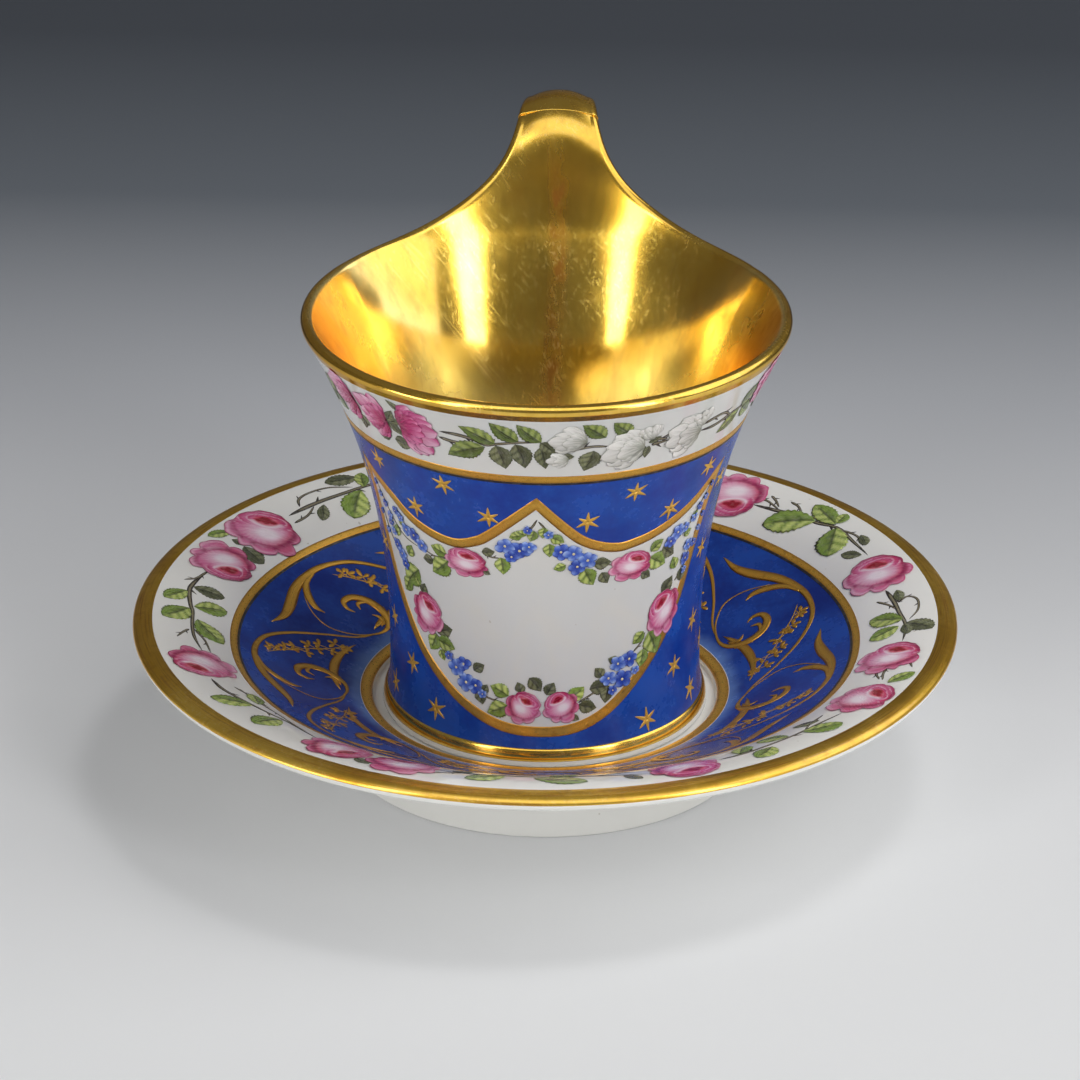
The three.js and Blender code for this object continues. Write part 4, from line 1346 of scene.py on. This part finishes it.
def makeCupGarland():
    # each part of the garland: stems first, then the shaded and the light leaves, then the flowers over them
    g = cupGarland
    strokes = []
    for shift, scale in g["parts"]:
        runs = [turned(np.array(run)[:, [0, 1, 0]], shift, scale)[:, :2] for run in g["stem"]]
        strokes += stems(cupSurface, cupHeightAt, runs, g["stemHalf"])
        for key, tones, lift in (("dusk", "dusk", 0.03), ("green", "olive", 0.06)):
            rows = tableRows(cupHeightAt, turned(g[key], shift, scale))
            strokes += leaf(cupSurface, rows, tones, leafShape, lift)
        for key in ("white", "pink"):
            rows = [(row[0] * scale + shift, *row[1:]) for row in g[key]]
            strokes += fans(cupSurface, cupHeightAt, rows, key, 0.1)
    addStrokes("cup_border_garland", cupSurface, strokes, flowerPaint, "cup")


makeCupGarland()

# Wreath inside the panel: roses with angle, height, half width, half height and turn; leaves from root to
# end; blue flowers with their radius; stems

wreath = {
    "stemHalf": 0.2,
    "rose": [(-24.7, 36.9, 4.2, 3.1, 80), (31.7, 36.2, 4.2, 3.1, 60), (-44, 24.3, 3.7, 4.2, 60),
             (48.5, 24.9, 4.0, 4.7, 120), (-5.6, 10.4, 3.2, 3.2, 60), (8, 10.8, 3.2, 3.2, 120)],
    "green": [(-31.9, 37.5, -38.3, 38.3), (-31.8, 36.2, -39.2, 33), (-12.3, 39, -11.7, 35.6),
              (14.8, 37, 18.5, 33.5), (38.9, 37.8, 43.7, 39.6), (38.8, 36.7, 46.4, 34.4),
              (-46.2, 32.1, -54.4, 28), (-52.1, 29.4, -56.1, 26.5), (-48.7, 30.6, -45.9, 29.1),
              (-40.3, 20.9, -43.7, 17.5), (-39.8, 19.9, -31.7, 19.2), (-38.4, 18.3, -36.6, 16.4),
              (-10.9, 12.4, -17.9, 13.9), (-11.4, 10.7, -19, 8.8), (10.8, 12, 16.5, 14.2),
              (39.6, 22.4, 35, 20.5), (41.9, 21.9, 46.4, 17.2), (39.7, 19, 38.6, 15.7),
              (52.3, 32.5, 50.1, 35), (8.8, 38, 4.8, 37.2), (3.4, 42.3, 3.5, 39.6), (3.6, 43.6, 8.1, 42.5),
              (1.8, 45.6, 1.2, 43.4), (-1.3, 44.9, -2.6, 42.7), (-4.9, 43.9, -9.1, 43.2),
              (-3.6, 44, -6.8, 44.7), (-50.5, 34.1, -48.3, 36.5), (-55.1, 36.9, -54.7, 39.3),
              (-50.6, 39.8, -52.5, 41), (54, 38.2, 57.5, 39.2), (56.6, 40.9, 58.9, 42.4)],
    "dusk": [(-39.7, 21.2, -32.5, 22.8), (14.5, 10.9, 21.3, 9.9), (18.5, 13.5, 26.2, 13.5),
             (25.5, 13.4, 24.5, 10.5), (46.8, 28.4, 51.4, 31.2), (56.3, 29.2, 57.6, 32.4),
             (18, 37.6, 24.2, 37.7), (-18.6, 39.6, -14.1, 40), (-38.1, 35.5, -42.9, 35),
             (-18.5, 35.9, -16.1, 35.3), (21, 35.8, 23.5, 33.5), (44.1, 37.9, 50.1, 35.6),
             (36.1, 34, 40.1, 32.8), (-3.4, 16.1, 0.9, 13.6), (2.9, 12.9, 5.6, 15.3),
             (-6.2, 13.1, -7.7, 15.2), (-24.2, 16.1, -19.9, 17.6), (23.5, 15.4, 20.4, 17.4),
             (-22.8, 12.6, -20.7, 10.1), (29.2, 17.8, 25.3, 18.8), (11.6, 8.8, 14.8, 8.1),
             (-20.9, 12.2, -18.9, 14), (-45.7, 27.7, -44.1, 29.9)],
    "blue": [(-27.4, 13.6, 1.8), (-23.5, 13.4, 1.6), (-31.5, 15.9, 1.7), (-28.3, 16.9, 1.5),
             (-10.6, 41.4, 1.8), (-6, 40.7, 1.8), (-2.9, 41.6, 1.3), (7.1, 40.6, 1.6), (11.2, 40.1, 1.8),
             (12.6, 37.5, 1.6), (15.9, 38.6, 1.7), (33.8, 17.9, 1.6), (29.2, 17.5, 1.5), (31.1, 14.4, 1.8),
             (25.6, 15.1, 1.4), (-8.6, 39.4, 1.3), (-49.1, 39.4, 1.3), (-45.5, 39, 1.4), (-42.2, 37.6, 1.4),
             (-57, 35, 1.2), (-54.6, 33.7, 1.3), (-53.2, 32.1, 1.1), (49.8, 39.9, 1.5), (47, 38.6, 1.3),
             (57.2, 36.1, 1.3), (56.9, 33.6, 1.3), (53.6, 40.2, 1.1), (-3.3, 45, 0.8), (3.1, 44.2, 0.9),
             (-58.3, 39, 0.8), (-57.3, 37.4, 0.9), (-62.7, 45.8, 0.6), (-61.4, 43.8, 0.7), (-59.3, 42.4, 0.8),
             (-57.8, 40.4, 0.9), (-53.2, 42.3, 0.8), (-51.2, 41.4, 0.9), (-63.6, 40.1, 0.6),
             (-61.9, 36.8, 0.7), (63.5, 46.7, 0.6), (61.8, 44.5, 0.7), (59.3, 43.2, 0.8), (57.2, 41.4, 0.9),
             (62.7, 41, 0.6), (61.7, 38.5, 0.7), (60.3, 36, 0.8), (56.9, 31.5, 0.7), (-34.4, 17.8, 0.8),
             (36.4, 15.6, 0.8), (27.2, 12.8, 0.9), (-20.6, 12.2, 0.8)],
    "stem": [[(-0.2, 47.2), (-2.5, 45.1), (-5.4, 43.9), (-8.7, 42.5)],
             [(0, 46.8), (2.2, 45.2), (4.7, 43.3), (7.3, 41.6)],
             [(-18.5, 39.6), (-15.5, 38.8), (-12.4, 38.8)],
             [(-34.2, 17), (-37.4, 18.3), (-39.1, 20.3), (-41, 21)], [(35.6, 18.9), (39, 20.4), (40.6, 22.1)],
             [(-23.5, 12.2), (-17.5, 11.4), (-12.5, 11)], [(14.3, 11.2), (19.6, 12.6), (25.1, 13.9)],
             [(52.9, 29.8), (56.4, 31.3), (58.1, 33.9)], [(-31.9, 36.7), (-37.1, 36.3), (-41.5, 36.8)],
             [(18.3, 37.6), (21.1, 37.6), (24.8, 36.8)],
             [(-63, 46.2), (-60, 42.8), (-56.3, 39.8), (-51, 37.6), (-44, 36.8)],
             [(-63.8, 40.4), (-61, 36), (-55.5, 33.4), (-50, 31)],
             [(63.8, 47), (60, 43.4), (56, 40.2), (50, 38.2), (43, 37)],
             [(63, 41.4), (61, 37), (57.4, 33), (54, 30)]]}


def makeWreath():
    # stems first, then the shaded and the light leaves, the blue flowers and the roses over them
    w = wreath
    strokes = stems(cupSurface, cupHeightAt, w["stem"], w["stemHalf"])
    for key, lift in (("dusk", 0.03), ("green", 0.06)):
        strokes += leaf(cupSurface, tableRows(cupHeightAt, w[key]), key, leafShape, lift, 3.0)
    theta, height, radius = np.array(w["blue"], float).T
    strokes += blueFlower(cupSurface, np.radians(theta), cupHeightAt(height), radius, 0.12)
    theta, height, wide, high, turn = np.array(w["rose"], float).T
    theta, turn = np.radians(theta), np.radians(turn)
    strokes.append(rose(cupSurface, theta, cupHeightAt(height), wide, high, turn, 0.14))
    addStrokes("cup_panel_wreath", cupSurface, strokes, flowerPaint, "cup")


makeWreath()

# Garland round the saucer's border: single roses and pairs by turns, joined by leafy sprays. The tables give
# the angle and radius of root and end, and copies the angles between which motifs come again further round

saucerGarland = {
    "rose": [(-122, 60, 6.6, 142), (-108.5, 59.9, 5.7, -41), (-69.2, 60.2, 5.9, 34), (-31.5, 59.8, 5.8, 20),
             (-20, 59.8, 5.8, 250), (24, 60.6, 5.8, 80), (61.4, 60.8, 5.9, 45), (77.5, 59.6, 5.7, 20),
             (109, 60, 6, 20), (148.5, 60.4, 6, 250), (160.5, 60, 5.8, 330), (-164, 60.4, 5.9, 90)],
    "green": [(-95.4, 61.9, -91.3, 65.2, 1.9), (-89.7, 60.7, -85, 65, 2.5), (-90.7, 60, -93.7, 54.7, 2.2),
              (-86.5, 59.1, -80.1, 54.8, 2.5), (-144.8, 60.7, -139.8, 55.2, 2.68),
              (-145.8, 61.3, -147.2, 65.2, 1.38), (-117.4, 63.3, -113.6, 65.6, 1.0),
              (-53, 58.4, -56.5, 64.4, 2.3), (-46.4, 57.3, -45.4, 64, 2.5), (-54, 56.8, -59.1, 55.2, 1.6),
              (0.5, 59.8, 8.6, 63, 2.6), (-4, 58.6, -9.6, 62.8, 2.3), (3, 57.6, 7.5, 55, 1.7),
              (38.9, 61.6, 34.2, 64.4, 2.1), (44, 59.6, 41, 55, 2.0), (130.9, 61.2, 139, 56, 3.0),
              (127.3, 62.6, 134.4, 64.6, 2.15), (127.5, 62.8, 128.4, 66, 1.3), (126.5, 62, 121.1, 56.4, 3.0),
              (91, 60.9, 94.7, 55.5, 2.3), (88.9, 60.1, 86.8, 55.2, 2.2), (67.1, 62.7, 71, 66, 1.5),
              (46.3, 60.3, 51.5, 64.2, 2.3), (34, 60, 38, 56, 1.8)],
    "dusk": [(-97.3, 61.3, -97.9, 55.9, 1.9), (-146.1, 64, -140.3, 65, 1.3),
             (-115.6, 59.6, -114.5, 54.9, 2.0), (-115.6, 62.1, -115.7, 59.9, 0.8),
             (-136.7, 60, -133.8, 56.9, 0.7), (89.6, 61.2, 86.1, 65.8, 2.2), (116.4, 60.5, 119.6, 58.2, 1.2),
             (89.4, 61, 85.4, 61.6, 1.0), (-27.2, 61.8, -24, 63.6, 1.2), (121.7, 63.5, 118.4, 62.4, 0.6),
             (101.7, 61.2, 98, 60.9, 0.7), (-12.4, 58.6, -9.6, 56.4, 1.0), (14.4, 60.2, 16.6, 63.6, 1.1),
             (52, 59, 48.6, 56, 1.1)],
    "stem": [[(-102.9, 60.9), (-98, 61.6), (-95.6, 61.6), (-90.9, 60.6), (-88.4, 60), (-82.4, 59.9),
              (-79, 59.7), (-74.5, 59)],
             [(-129, 60.5), (-135.7, 60.9), (-141.5, 61.1), (-148, 61.5), (-157, 60.8)],
             [(-63.6, 60.7), (-59.3, 60.4), (-55, 58.9), (-50.4, 57.4), (-45.1, 56.4), (-37, 58)],
             [(-14.5, 59), (-7.5, 58.4), (-3.4, 57.6), (2.2, 57.8), (7.1, 57.6), (11.7, 58.8), (18.5, 61)],
             [(30, 60.1), (34.4, 60.3), (39.2, 60), (44, 60), (50, 60), (55.5, 61)],
             [(144, 59.4), (138.4, 60), (134.4, 60.9), (130.3, 61), (126.3, 62.2), (120.9, 61.5),
              (115.5, 61.2)], [(103, 59.6), (98.7, 60), (93.9, 60.4), (89, 61.2), (83, 61)]],
    "twig": [[(-103.7, 60.7), (-100.4, 61.6), (-98.6, 63.3)], [(-82.6, 59.6), (-79.1, 58), (-74.8, 57.6)],
             [(-82.1, 60.5), (-80.5, 61.6), (-78.4, 62.8)],
             [(-132.5, 61.4), (-133.7, 63.1), (-136.2, 63.8), (-140, 63.6), (-144.1, 61.9)],
             [(-128.6, 58.6), (-132.2, 59), (-134.9, 60.4)], [(-61.3, 57.6), (-57.7, 56), (-53.2, 55)],
             [(-60.8, 56.8), (-55.3, 56), (-49.5, 55.4), (-41.1, 56.6)],
             [(54.8, 57.6), (50.5, 58.3), (47.4, 59.8)], [(125.4, 62.2), (121.9, 62.9), (118.6, 62)],
             [(144.1, 61.4), (141.8, 61.2), (138.6, 60.2)], [(142.3, 62.8), (140.8, 62), (139.2, 60.8)],
             [(138.4, 63), (136.4, 62.6), (134.4, 61.3)],
             [(97.3, 60.6), (98.6, 62.3), (97, 63.8), (93.4, 63.5), (90.5, 61.8)],
             [(100.4, 57.4), (97.8, 59), (95.3, 60.1)], [(74.7, 58.5), (71.6, 59), (68.8, 60.5)],
             [(74.1, 60.2), (71, 60.4), (68.5, 61.2)], [(75.1, 61.7), (75.2, 63.4), (72.8, 64.8)],
             [(10, 58.4), (13, 57), (16.4, 56.8)], [(-10.4, 58.6), (-13, 60.4), (-15, 61.8)]],
    "copies": [(-104, -74, 267.5)], "stemHalf": 0.46, "twigHalf": 0.28, "roseSize": 1.07}


def makeSaucerGarland():
    # stems and twigs first, then the shaded and the light leaves, then the roses over them
    g = saucerGarland
    strokes = []
    for key, half in (("stem", g["stemHalf"]), ("twig", g["twigHalf"])):
        runs = list(g[key])
        for start, end, shift in g["copies"]:
            again = [run for run in g[key] if start <= run[0][0] <= end]
            runs += [[(angle + shift, away) for angle, away in run] for run in again]
        strokes += stems(saucerSurface, saucerAt, runs, half)
    for key, lift in (("dusk", 0.03), ("green", 0.06)):
        rows = list(g[key])
        for start, end, shift in g["copies"]:
            again = [row for row in g[key] if start <= row[0] <= end]
            rows += [(row[0] + shift, row[1], row[2] + shift, *row[3:]) for row in again]
        strokes += leaf(saucerSurface, tableRows(saucerAt, rows), key, roundLeaf, lift)
    theta, away, radius, turn = np.array(g["rose"], float).T
    theta, radius, turn = np.radians(theta), radius * g["roseSize"], np.radians(turn)
    strokes.append(rose(saucerSurface, theta, saucerAt(away), radius, radius, turn, 0.16))
    addStrokes("saucer_border_garland", saucerSurface, strokes, flowerPaint, "saucer")


makeSaucerGarland()

# Running gilt scrolls on the saucer's blue bowl: angle from the unit's crest in degrees, radius, half width

scrollForm = {
    "units": 9, "first": -123, "points": 48, "tuftCurl": 0.6, "sprigPoints": 30, "sprigHalf": 0.1,
    "leanBack": 150, "petalTurn": 1.1, "petalLength": 1.6, "petalHalf": 0.42,
    "strokes": [[(-40, 33.6, 0.15), (-30, 35.6, 0.25), (-22.5, 40, 0.3), (-15.6, 44.6, 0.4), (-9, 48, 0.5),
                 (-2, 49.4, 0.6), (4, 49.3, 0.75), (9, 48.6, 0.9), (14.5, 47.3, 0.95), (19.5, 46.9, 0.7),
                 (24.3, 48, 0.1)],
                [(1, 49.1, 0.3), (5, 48.3, 0.6), (8, 46.4, 0.75), (9.8, 44.2, 0.6), (9.6, 42.4, 0.08)],
                [(8.5, 47.2, 0.1), (12.5, 43.6, 0.16), (13.6, 39.8, 0.18), (9.5, 36, 0.2), (3, 34, 0.3),
                 (-2.2, 34.4, 0.55), (-4.8, 36.8, 0.75), (-4.4, 39.8, 0.8), (-1.5, 42, 0.75),
                 (1.8, 42.2, 0.6), (3, 40.8, 0.4), (2.2, 39.4, 0.1)],
                [(-3.6, 40, 0.2), (-1, 40.6, 0.45), (0.2, 39.4, 0.1)],
                [(-1.2, 37.6, 0.1), (-2.4, 36.4, 0.4), (-1.2, 34.8, 0.15)]],
    "tuft": [(3.4, 35.1, -26.1, 35.0, 0.9), (0.2, 34.8, -17.1, 36.4, 0.8), (-4.8, 34.8, -6.5, 38.0, 0.6)],
    "sprig": [(-2.5, 47.4), (-6, 45.2), (-9.6, 42.6), (-12.4, 41.2), (-15.8, 39), (-19, 37.4), (-23.4, 35.9)],
    "flowers": [(-4.2, 46.4, 1.4, 40), (-5.6, 45.4, 1.5, -70), (-7.2, 44.4, 1.9, 75), (-8.6, 43.4, 1.2, -60),
                (-10.2, 42.3, 1.3, 95), (-11.4, 41.7, 1.9, -85), (-12.8, 41, 1.8, 70), (-14.4, 40, 1.2, -60),
                (-16, 38.9, 1.4, 100), (-17.4, 38.2, 1.7, -75), (-19, 37.4, 1.3, 80), (-21, 36.7, 1.2, -60),
                (-23.2, 36, 0.7, 180)]}


def makeScrolls():
    # every unit: its scrolls, a tuft of leaves at the root, a sprig, and flowers of three petals on stalks
    f = scrollForm
    strokes = []
    centres = np.radians(f["first"] + 360 / f["units"] * np.arange(f["units"]))[:, None]
    each = lambda row: np.repeat(row[None], len(centres), 0)
    for level, run in enumerate(f["strokes"]):
        angle, away, half = smoothPath(run, f["points"]).T
        half = each(np.abs(half) * (0.75 + 0.4 * np.abs(half)))
        lift = 0.03 + 0.012 * level
        strokes.append(ribbon(centres + np.radians(angle), each(saucerAt(away)), half, lift, giltEdged, 0.04))
    angle, away, angleEnd, awayEnd, half = np.array(f["tuft"]).T
    begin, end = centres + np.radians(angle), centres + np.radians(angleEnd)
    low, high = saucerAt(away), saucerAt(awayEnd)
    heading, length = reach(saucerSurface, begin, low, end, high)
    strokes.append(dabs(saucerSurface, begin, low, 0, 0, heading - f["tuftCurl"] / 2, length * 1.02, half,
                        0.03, leafShape, giltEdged, f["tuftCurl"], 0.03, 12))
    angle, away = smoothPath(f["sprig"], f["sprigPoints"]).T
    thin = np.full((len(centres), f["sprigPoints"]), f["sprigHalf"])
    strokes.append(ribbon(centres + np.radians(angle), each(saucerAt(away)), thin, 0.03, giltPaint, 0.02))
    angle, away, stalk, turn = np.array(f["flowers"]).T
    theta = (centres + np.radians(angle)).ravel()[:, None]
    s, stalk, turn = (np.tile(value, len(centres))[:, None] for value in (saucerAt(away), stalk, turn))
    heading = np.radians(f["leanBack"] + turn) + rng.normal(0, 0.15, (len(theta), 1))
    strokes.append(dabs(saucerSurface, theta, s, 0, 0, heading, 1.25 * stalk, 0.1, 0.03, lineShape, giltPaint,
                        steps=5))
    u, v = stalk * np.cos(heading), stalk * np.sin(heading)
    petals = heading + f["petalTurn"] * np.array([[-1, 0, 1]]) + rng.normal(0, 0.2, (len(theta), 3))
    length = f["petalLength"] + rng.normal(0, 0.2, (len(theta), 3))
    strokes.append(dabs(saucerSurface, theta, s, u, v, petals, length, f["petalHalf"], 0.04, petalShape,
                        giltEdged, dome=0.03, steps=6))
    addStrokes("saucer_gilt_scrolls", saucerSurface, strokes, scrollGold, "saucer")


makeScrolls()

# Floor, light and camera

# the floor's stops darken toward the back: a painted falloff of the light
stage = {
    "falloffStops": [(-0.10, (231, 232, 233)), (0.016, (221, 222, 224)), (0.149, (168, 170, 175)),
              (0.257, (97, 102, 109)), (0.36, (69, 73, 80)), (0.6, (62, 66, 73))],
    "half": 3, "middle": 0.05, "glow": 0.9, "glowShare": 0.16, "worldLight": 0.26, "worldSeen": 0.16,
    "roughness": 0.7, "shine": 0.15, "cloth": (srgb(120, 117, 110), srgb(136, 132, 124)), "weave": (300, 2),
    "clothRough": 0.9,
    "backdrop": {"radius": 1.35, "height": 0.9, "from": 105, "to": 290, "columns": 40},
    "flag": {"distance": 1.3, "half": 0.18, "low": 0.1, "high": 1.2}}
view = {
    "azimuth": 2.2, "elevation": 24.82, "distance": 900, "lens": 177.63, "sensor": 36,
    "aim": (-0.92, 0, 38.45), "roll": 0.25, "up": 0.04}


def addStaged(name, points, faces, material):
    # a plain mesh that belongs to the stage and not to the part
    mesh = bpy.data.meshes.new(name)
    points, faces = [tuple(map(float, point)) for point in points], [tuple(map(int, face)) for face in faces]
    mesh.from_pydata(points, [], faces)
    mesh.materials.append(material)
    thing = bpy.data.objects.new(name, mesh)
    bpy.context.scene.collection.objects.link(thing)
    return thing


def makeFloor():
    # paper whose colour darkens from front to back through the stops, a painted falloff of the light, with a
    # little glow for rays that see it, which lightens the paper and the object's shadow on it: painted light
    material, tree, shader = startMaterial("floor_paper_painted_falloff", 0.0)
    y = axes(tree)[1]
    ramp = tree.nodes.new("ShaderNodeValToRGB")
    near, far = stage["falloffStops"][0][0], stage["falloffStops"][-1][0]
    tree.links.new(fit(tree, y, near, far, 0, 1), ramp.inputs["Fac"])
    falloffStops = ramp.color_ramp.elements
    for index, (place, level) in enumerate(stage["falloffStops"]):
        stop = falloffStops[index] if index < 2 else falloffStops.new(1.0)
        stop.position = (place - near) / (far - near)
        stop.color = (*srgb(*level), 1)
    tree.links.new(ramp.outputs["Color"], shader.inputs["Base Color"])
    shader.inputs["Roughness"].default_value = stage["roughness"]
    shader.inputs["Specular IOR Level"].default_value = stage["shine"]
    glow = tree.nodes.new("ShaderNodeEmission")
    glow.inputs["Strength"].default_value = stage["glow"]
    tree.links.new(ramp.outputs["Color"], glow.inputs["Color"])
    both = tree.nodes.new("ShaderNodeMixShader")
    tree.links.new(times(tree, seenRays(tree), stage["glowShare"]), both.inputs["Fac"])
    tree.links.new(shader.outputs["BSDF"], both.inputs[1])
    tree.links.new(glow.outputs["Emission"], both.inputs[2])
    tree.links.new(both.outputs["Shader"], tree.nodes["Material Output"].inputs["Surface"])
    half = stage["half"]
    corners = [(-half, -half, 0), (half, -half, 0), (half, half, 0), (-half, half, 0)]
    addStaged("floor", corners, [(0, 1, 2, 3)], material)


def makeCloth():
    # dark cloth round the back and a dark flag behind the camera, for the gold to reflect
    b, f = stage["backdrop"], stage["flag"]
    turn = np.radians(np.linspace(b["from"], b["to"], b["columns"]))
    x, y = b["radius"] * np.sin(turn), -b["radius"] * np.cos(turn)
    wall = np.vstack([np.stack([x, y, np.full(len(turn), z)], -1) for z in (0, b["height"])])
    here = np.arange(len(turn) - 1)
    wallFaces = np.stack([here, here + 1, here + len(turn) + 1, here + len(turn)], -1)
    corners = ((-1, "low"), (1, "low"), (1, "high"), (-1, "high"))
    card = [(side * f["half"], -f["distance"], f[key]) for side, key in corners]
    material, tree, shader = startMaterial("dark_cloth", 0.0)
    feed(tree, shader.inputs["Base Color"], blendColour(tree, noise(tree, *stage["weave"]), *stage["cloth"]))
    shader.inputs["Roughness"].default_value = stage["clothRough"]
    for name, points, faces in (("backdrop", wall, wallFaces), ("flag", card, [(0, 1, 2, 3)])):
        addStaged(name, points, faces, material).visible_camera = False


def aimAt(thing, target):
    # turn a lamp or camera so that its -Z looks at the target
    thing.rotation_euler = (Vector(target) - thing.location).to_track_quat("-Z", "Y").to_euler()


def fromAngles(distance, azimuth, elevation, up):
    # place at a distance, so many degrees round from the front and over the level, and moved up
    azimuth, elevation = math.radians(azimuth), math.radians(elevation)
    return (distance * math.cos(elevation) * math.sin(azimuth),
            -distance * math.cos(elevation) * math.cos(azimuth), distance * math.sin(elevation) + up)


lamps = {
    "key": {"azimuth": 135, "elevation": 65, "distance": 1.3, "size": (0.3, 0.3), "power": 3.0,
            "glossy": False},
    "right_wall": {"azimuth": 98, "elevation": 36, "distance": 1.3, "size": (1.4, 1.2), "power": 8.4},
    "right_box": {"azimuth": 47, "elevation": 24, "distance": 1.25, "size": (0.3, 1.0), "power": 5.4,
                  "glossy": False},
    "left_box": {"azimuth": -41, "elevation": 24, "distance": 1.25, "size": (0.26, 1.0), "power": 3.0,
                 "glossy": False},
    "left_low": {"azimuth": -62, "elevation": 5, "distance": 1.5, "size": (0.6, 0.4), "power": 4.6},
    "right_strip": {"azimuth": 47, "elevation": 24, "distance": 1.24, "size": (0.26, 1.0), "power": 6.0,
                    "diffuse": False},
    "left_strip": {"azimuth": -41, "elevation": 24, "distance": 1.24, "size": (0.22, 1.0), "power": 4.4,
                   "diffuse": False},
    "gold_card": {"azimuth": 0, "elevation": 64, "distance": 1.2, "size": (1.3, 0.9), "power": 4.6,
                  "diffuse": False}}


def makeLights():
    # rectangular lamps that face the middle of the part, and a white world, seen darker than it lights
    for name, lamp in lamps.items():
        data = bpy.data.lights.new(name, "AREA")
        data.shape = "RECTANGLE"
        data.size, data.size_y = lamp["size"]
        data.energy = lamp["power"]
        light = bpy.data.objects.new(name, data)
        light.visible_diffuse = lamp.get("diffuse", True)
        light.visible_glossy = lamp.get("glossy", True)
        light.location = fromAngles(lamp["distance"], lamp["azimuth"], lamp["elevation"], stage["middle"])
        bpy.context.scene.collection.objects.link(light)
        aimAt(light, (0, 0, stage["middle"]))
    world = bpy.data.worlds.new("studio")
    bpy.context.scene.world = world
    world.use_nodes = True
    tree = world.node_tree
    back = tree.nodes["Background"]
    back.inputs["Color"].default_value = (1.0, 1.0, 1.0, 1)
    strength = fit(tree, seenRays(tree), 0, 1, stage["worldLight"], stage["worldSeen"])
    feed(tree, back.inputs["Strength"], strength)


def makeCamera():
    # the photograph's standpoint: a long lens from the front and above, rolled by a touch
    data = bpy.data.cameras.new("camera")
    data.lens = view["lens"]
    data.sensor_width = view["sensor"]
    data.sensor_fit = "HORIZONTAL"
    camera = bpy.data.objects.new("camera", data)
    camera.location = fromAngles(view["distance"] * mm, view["azimuth"], view["elevation"], view["up"])
    aimAt(camera, [value * mm for value in view["aim"]])
    camera.rotation_euler.rotate_axis("Z", math.radians(view["roll"]))
    bpy.context.scene.collection.objects.link(camera)
    bpy.context.scene.camera = camera


makeFloor()
makeCloth()
makeLights()
makeCamera()
bpy.context.scene.view_settings.view_transform = "Standard"
print("stage, lights and camera ready")
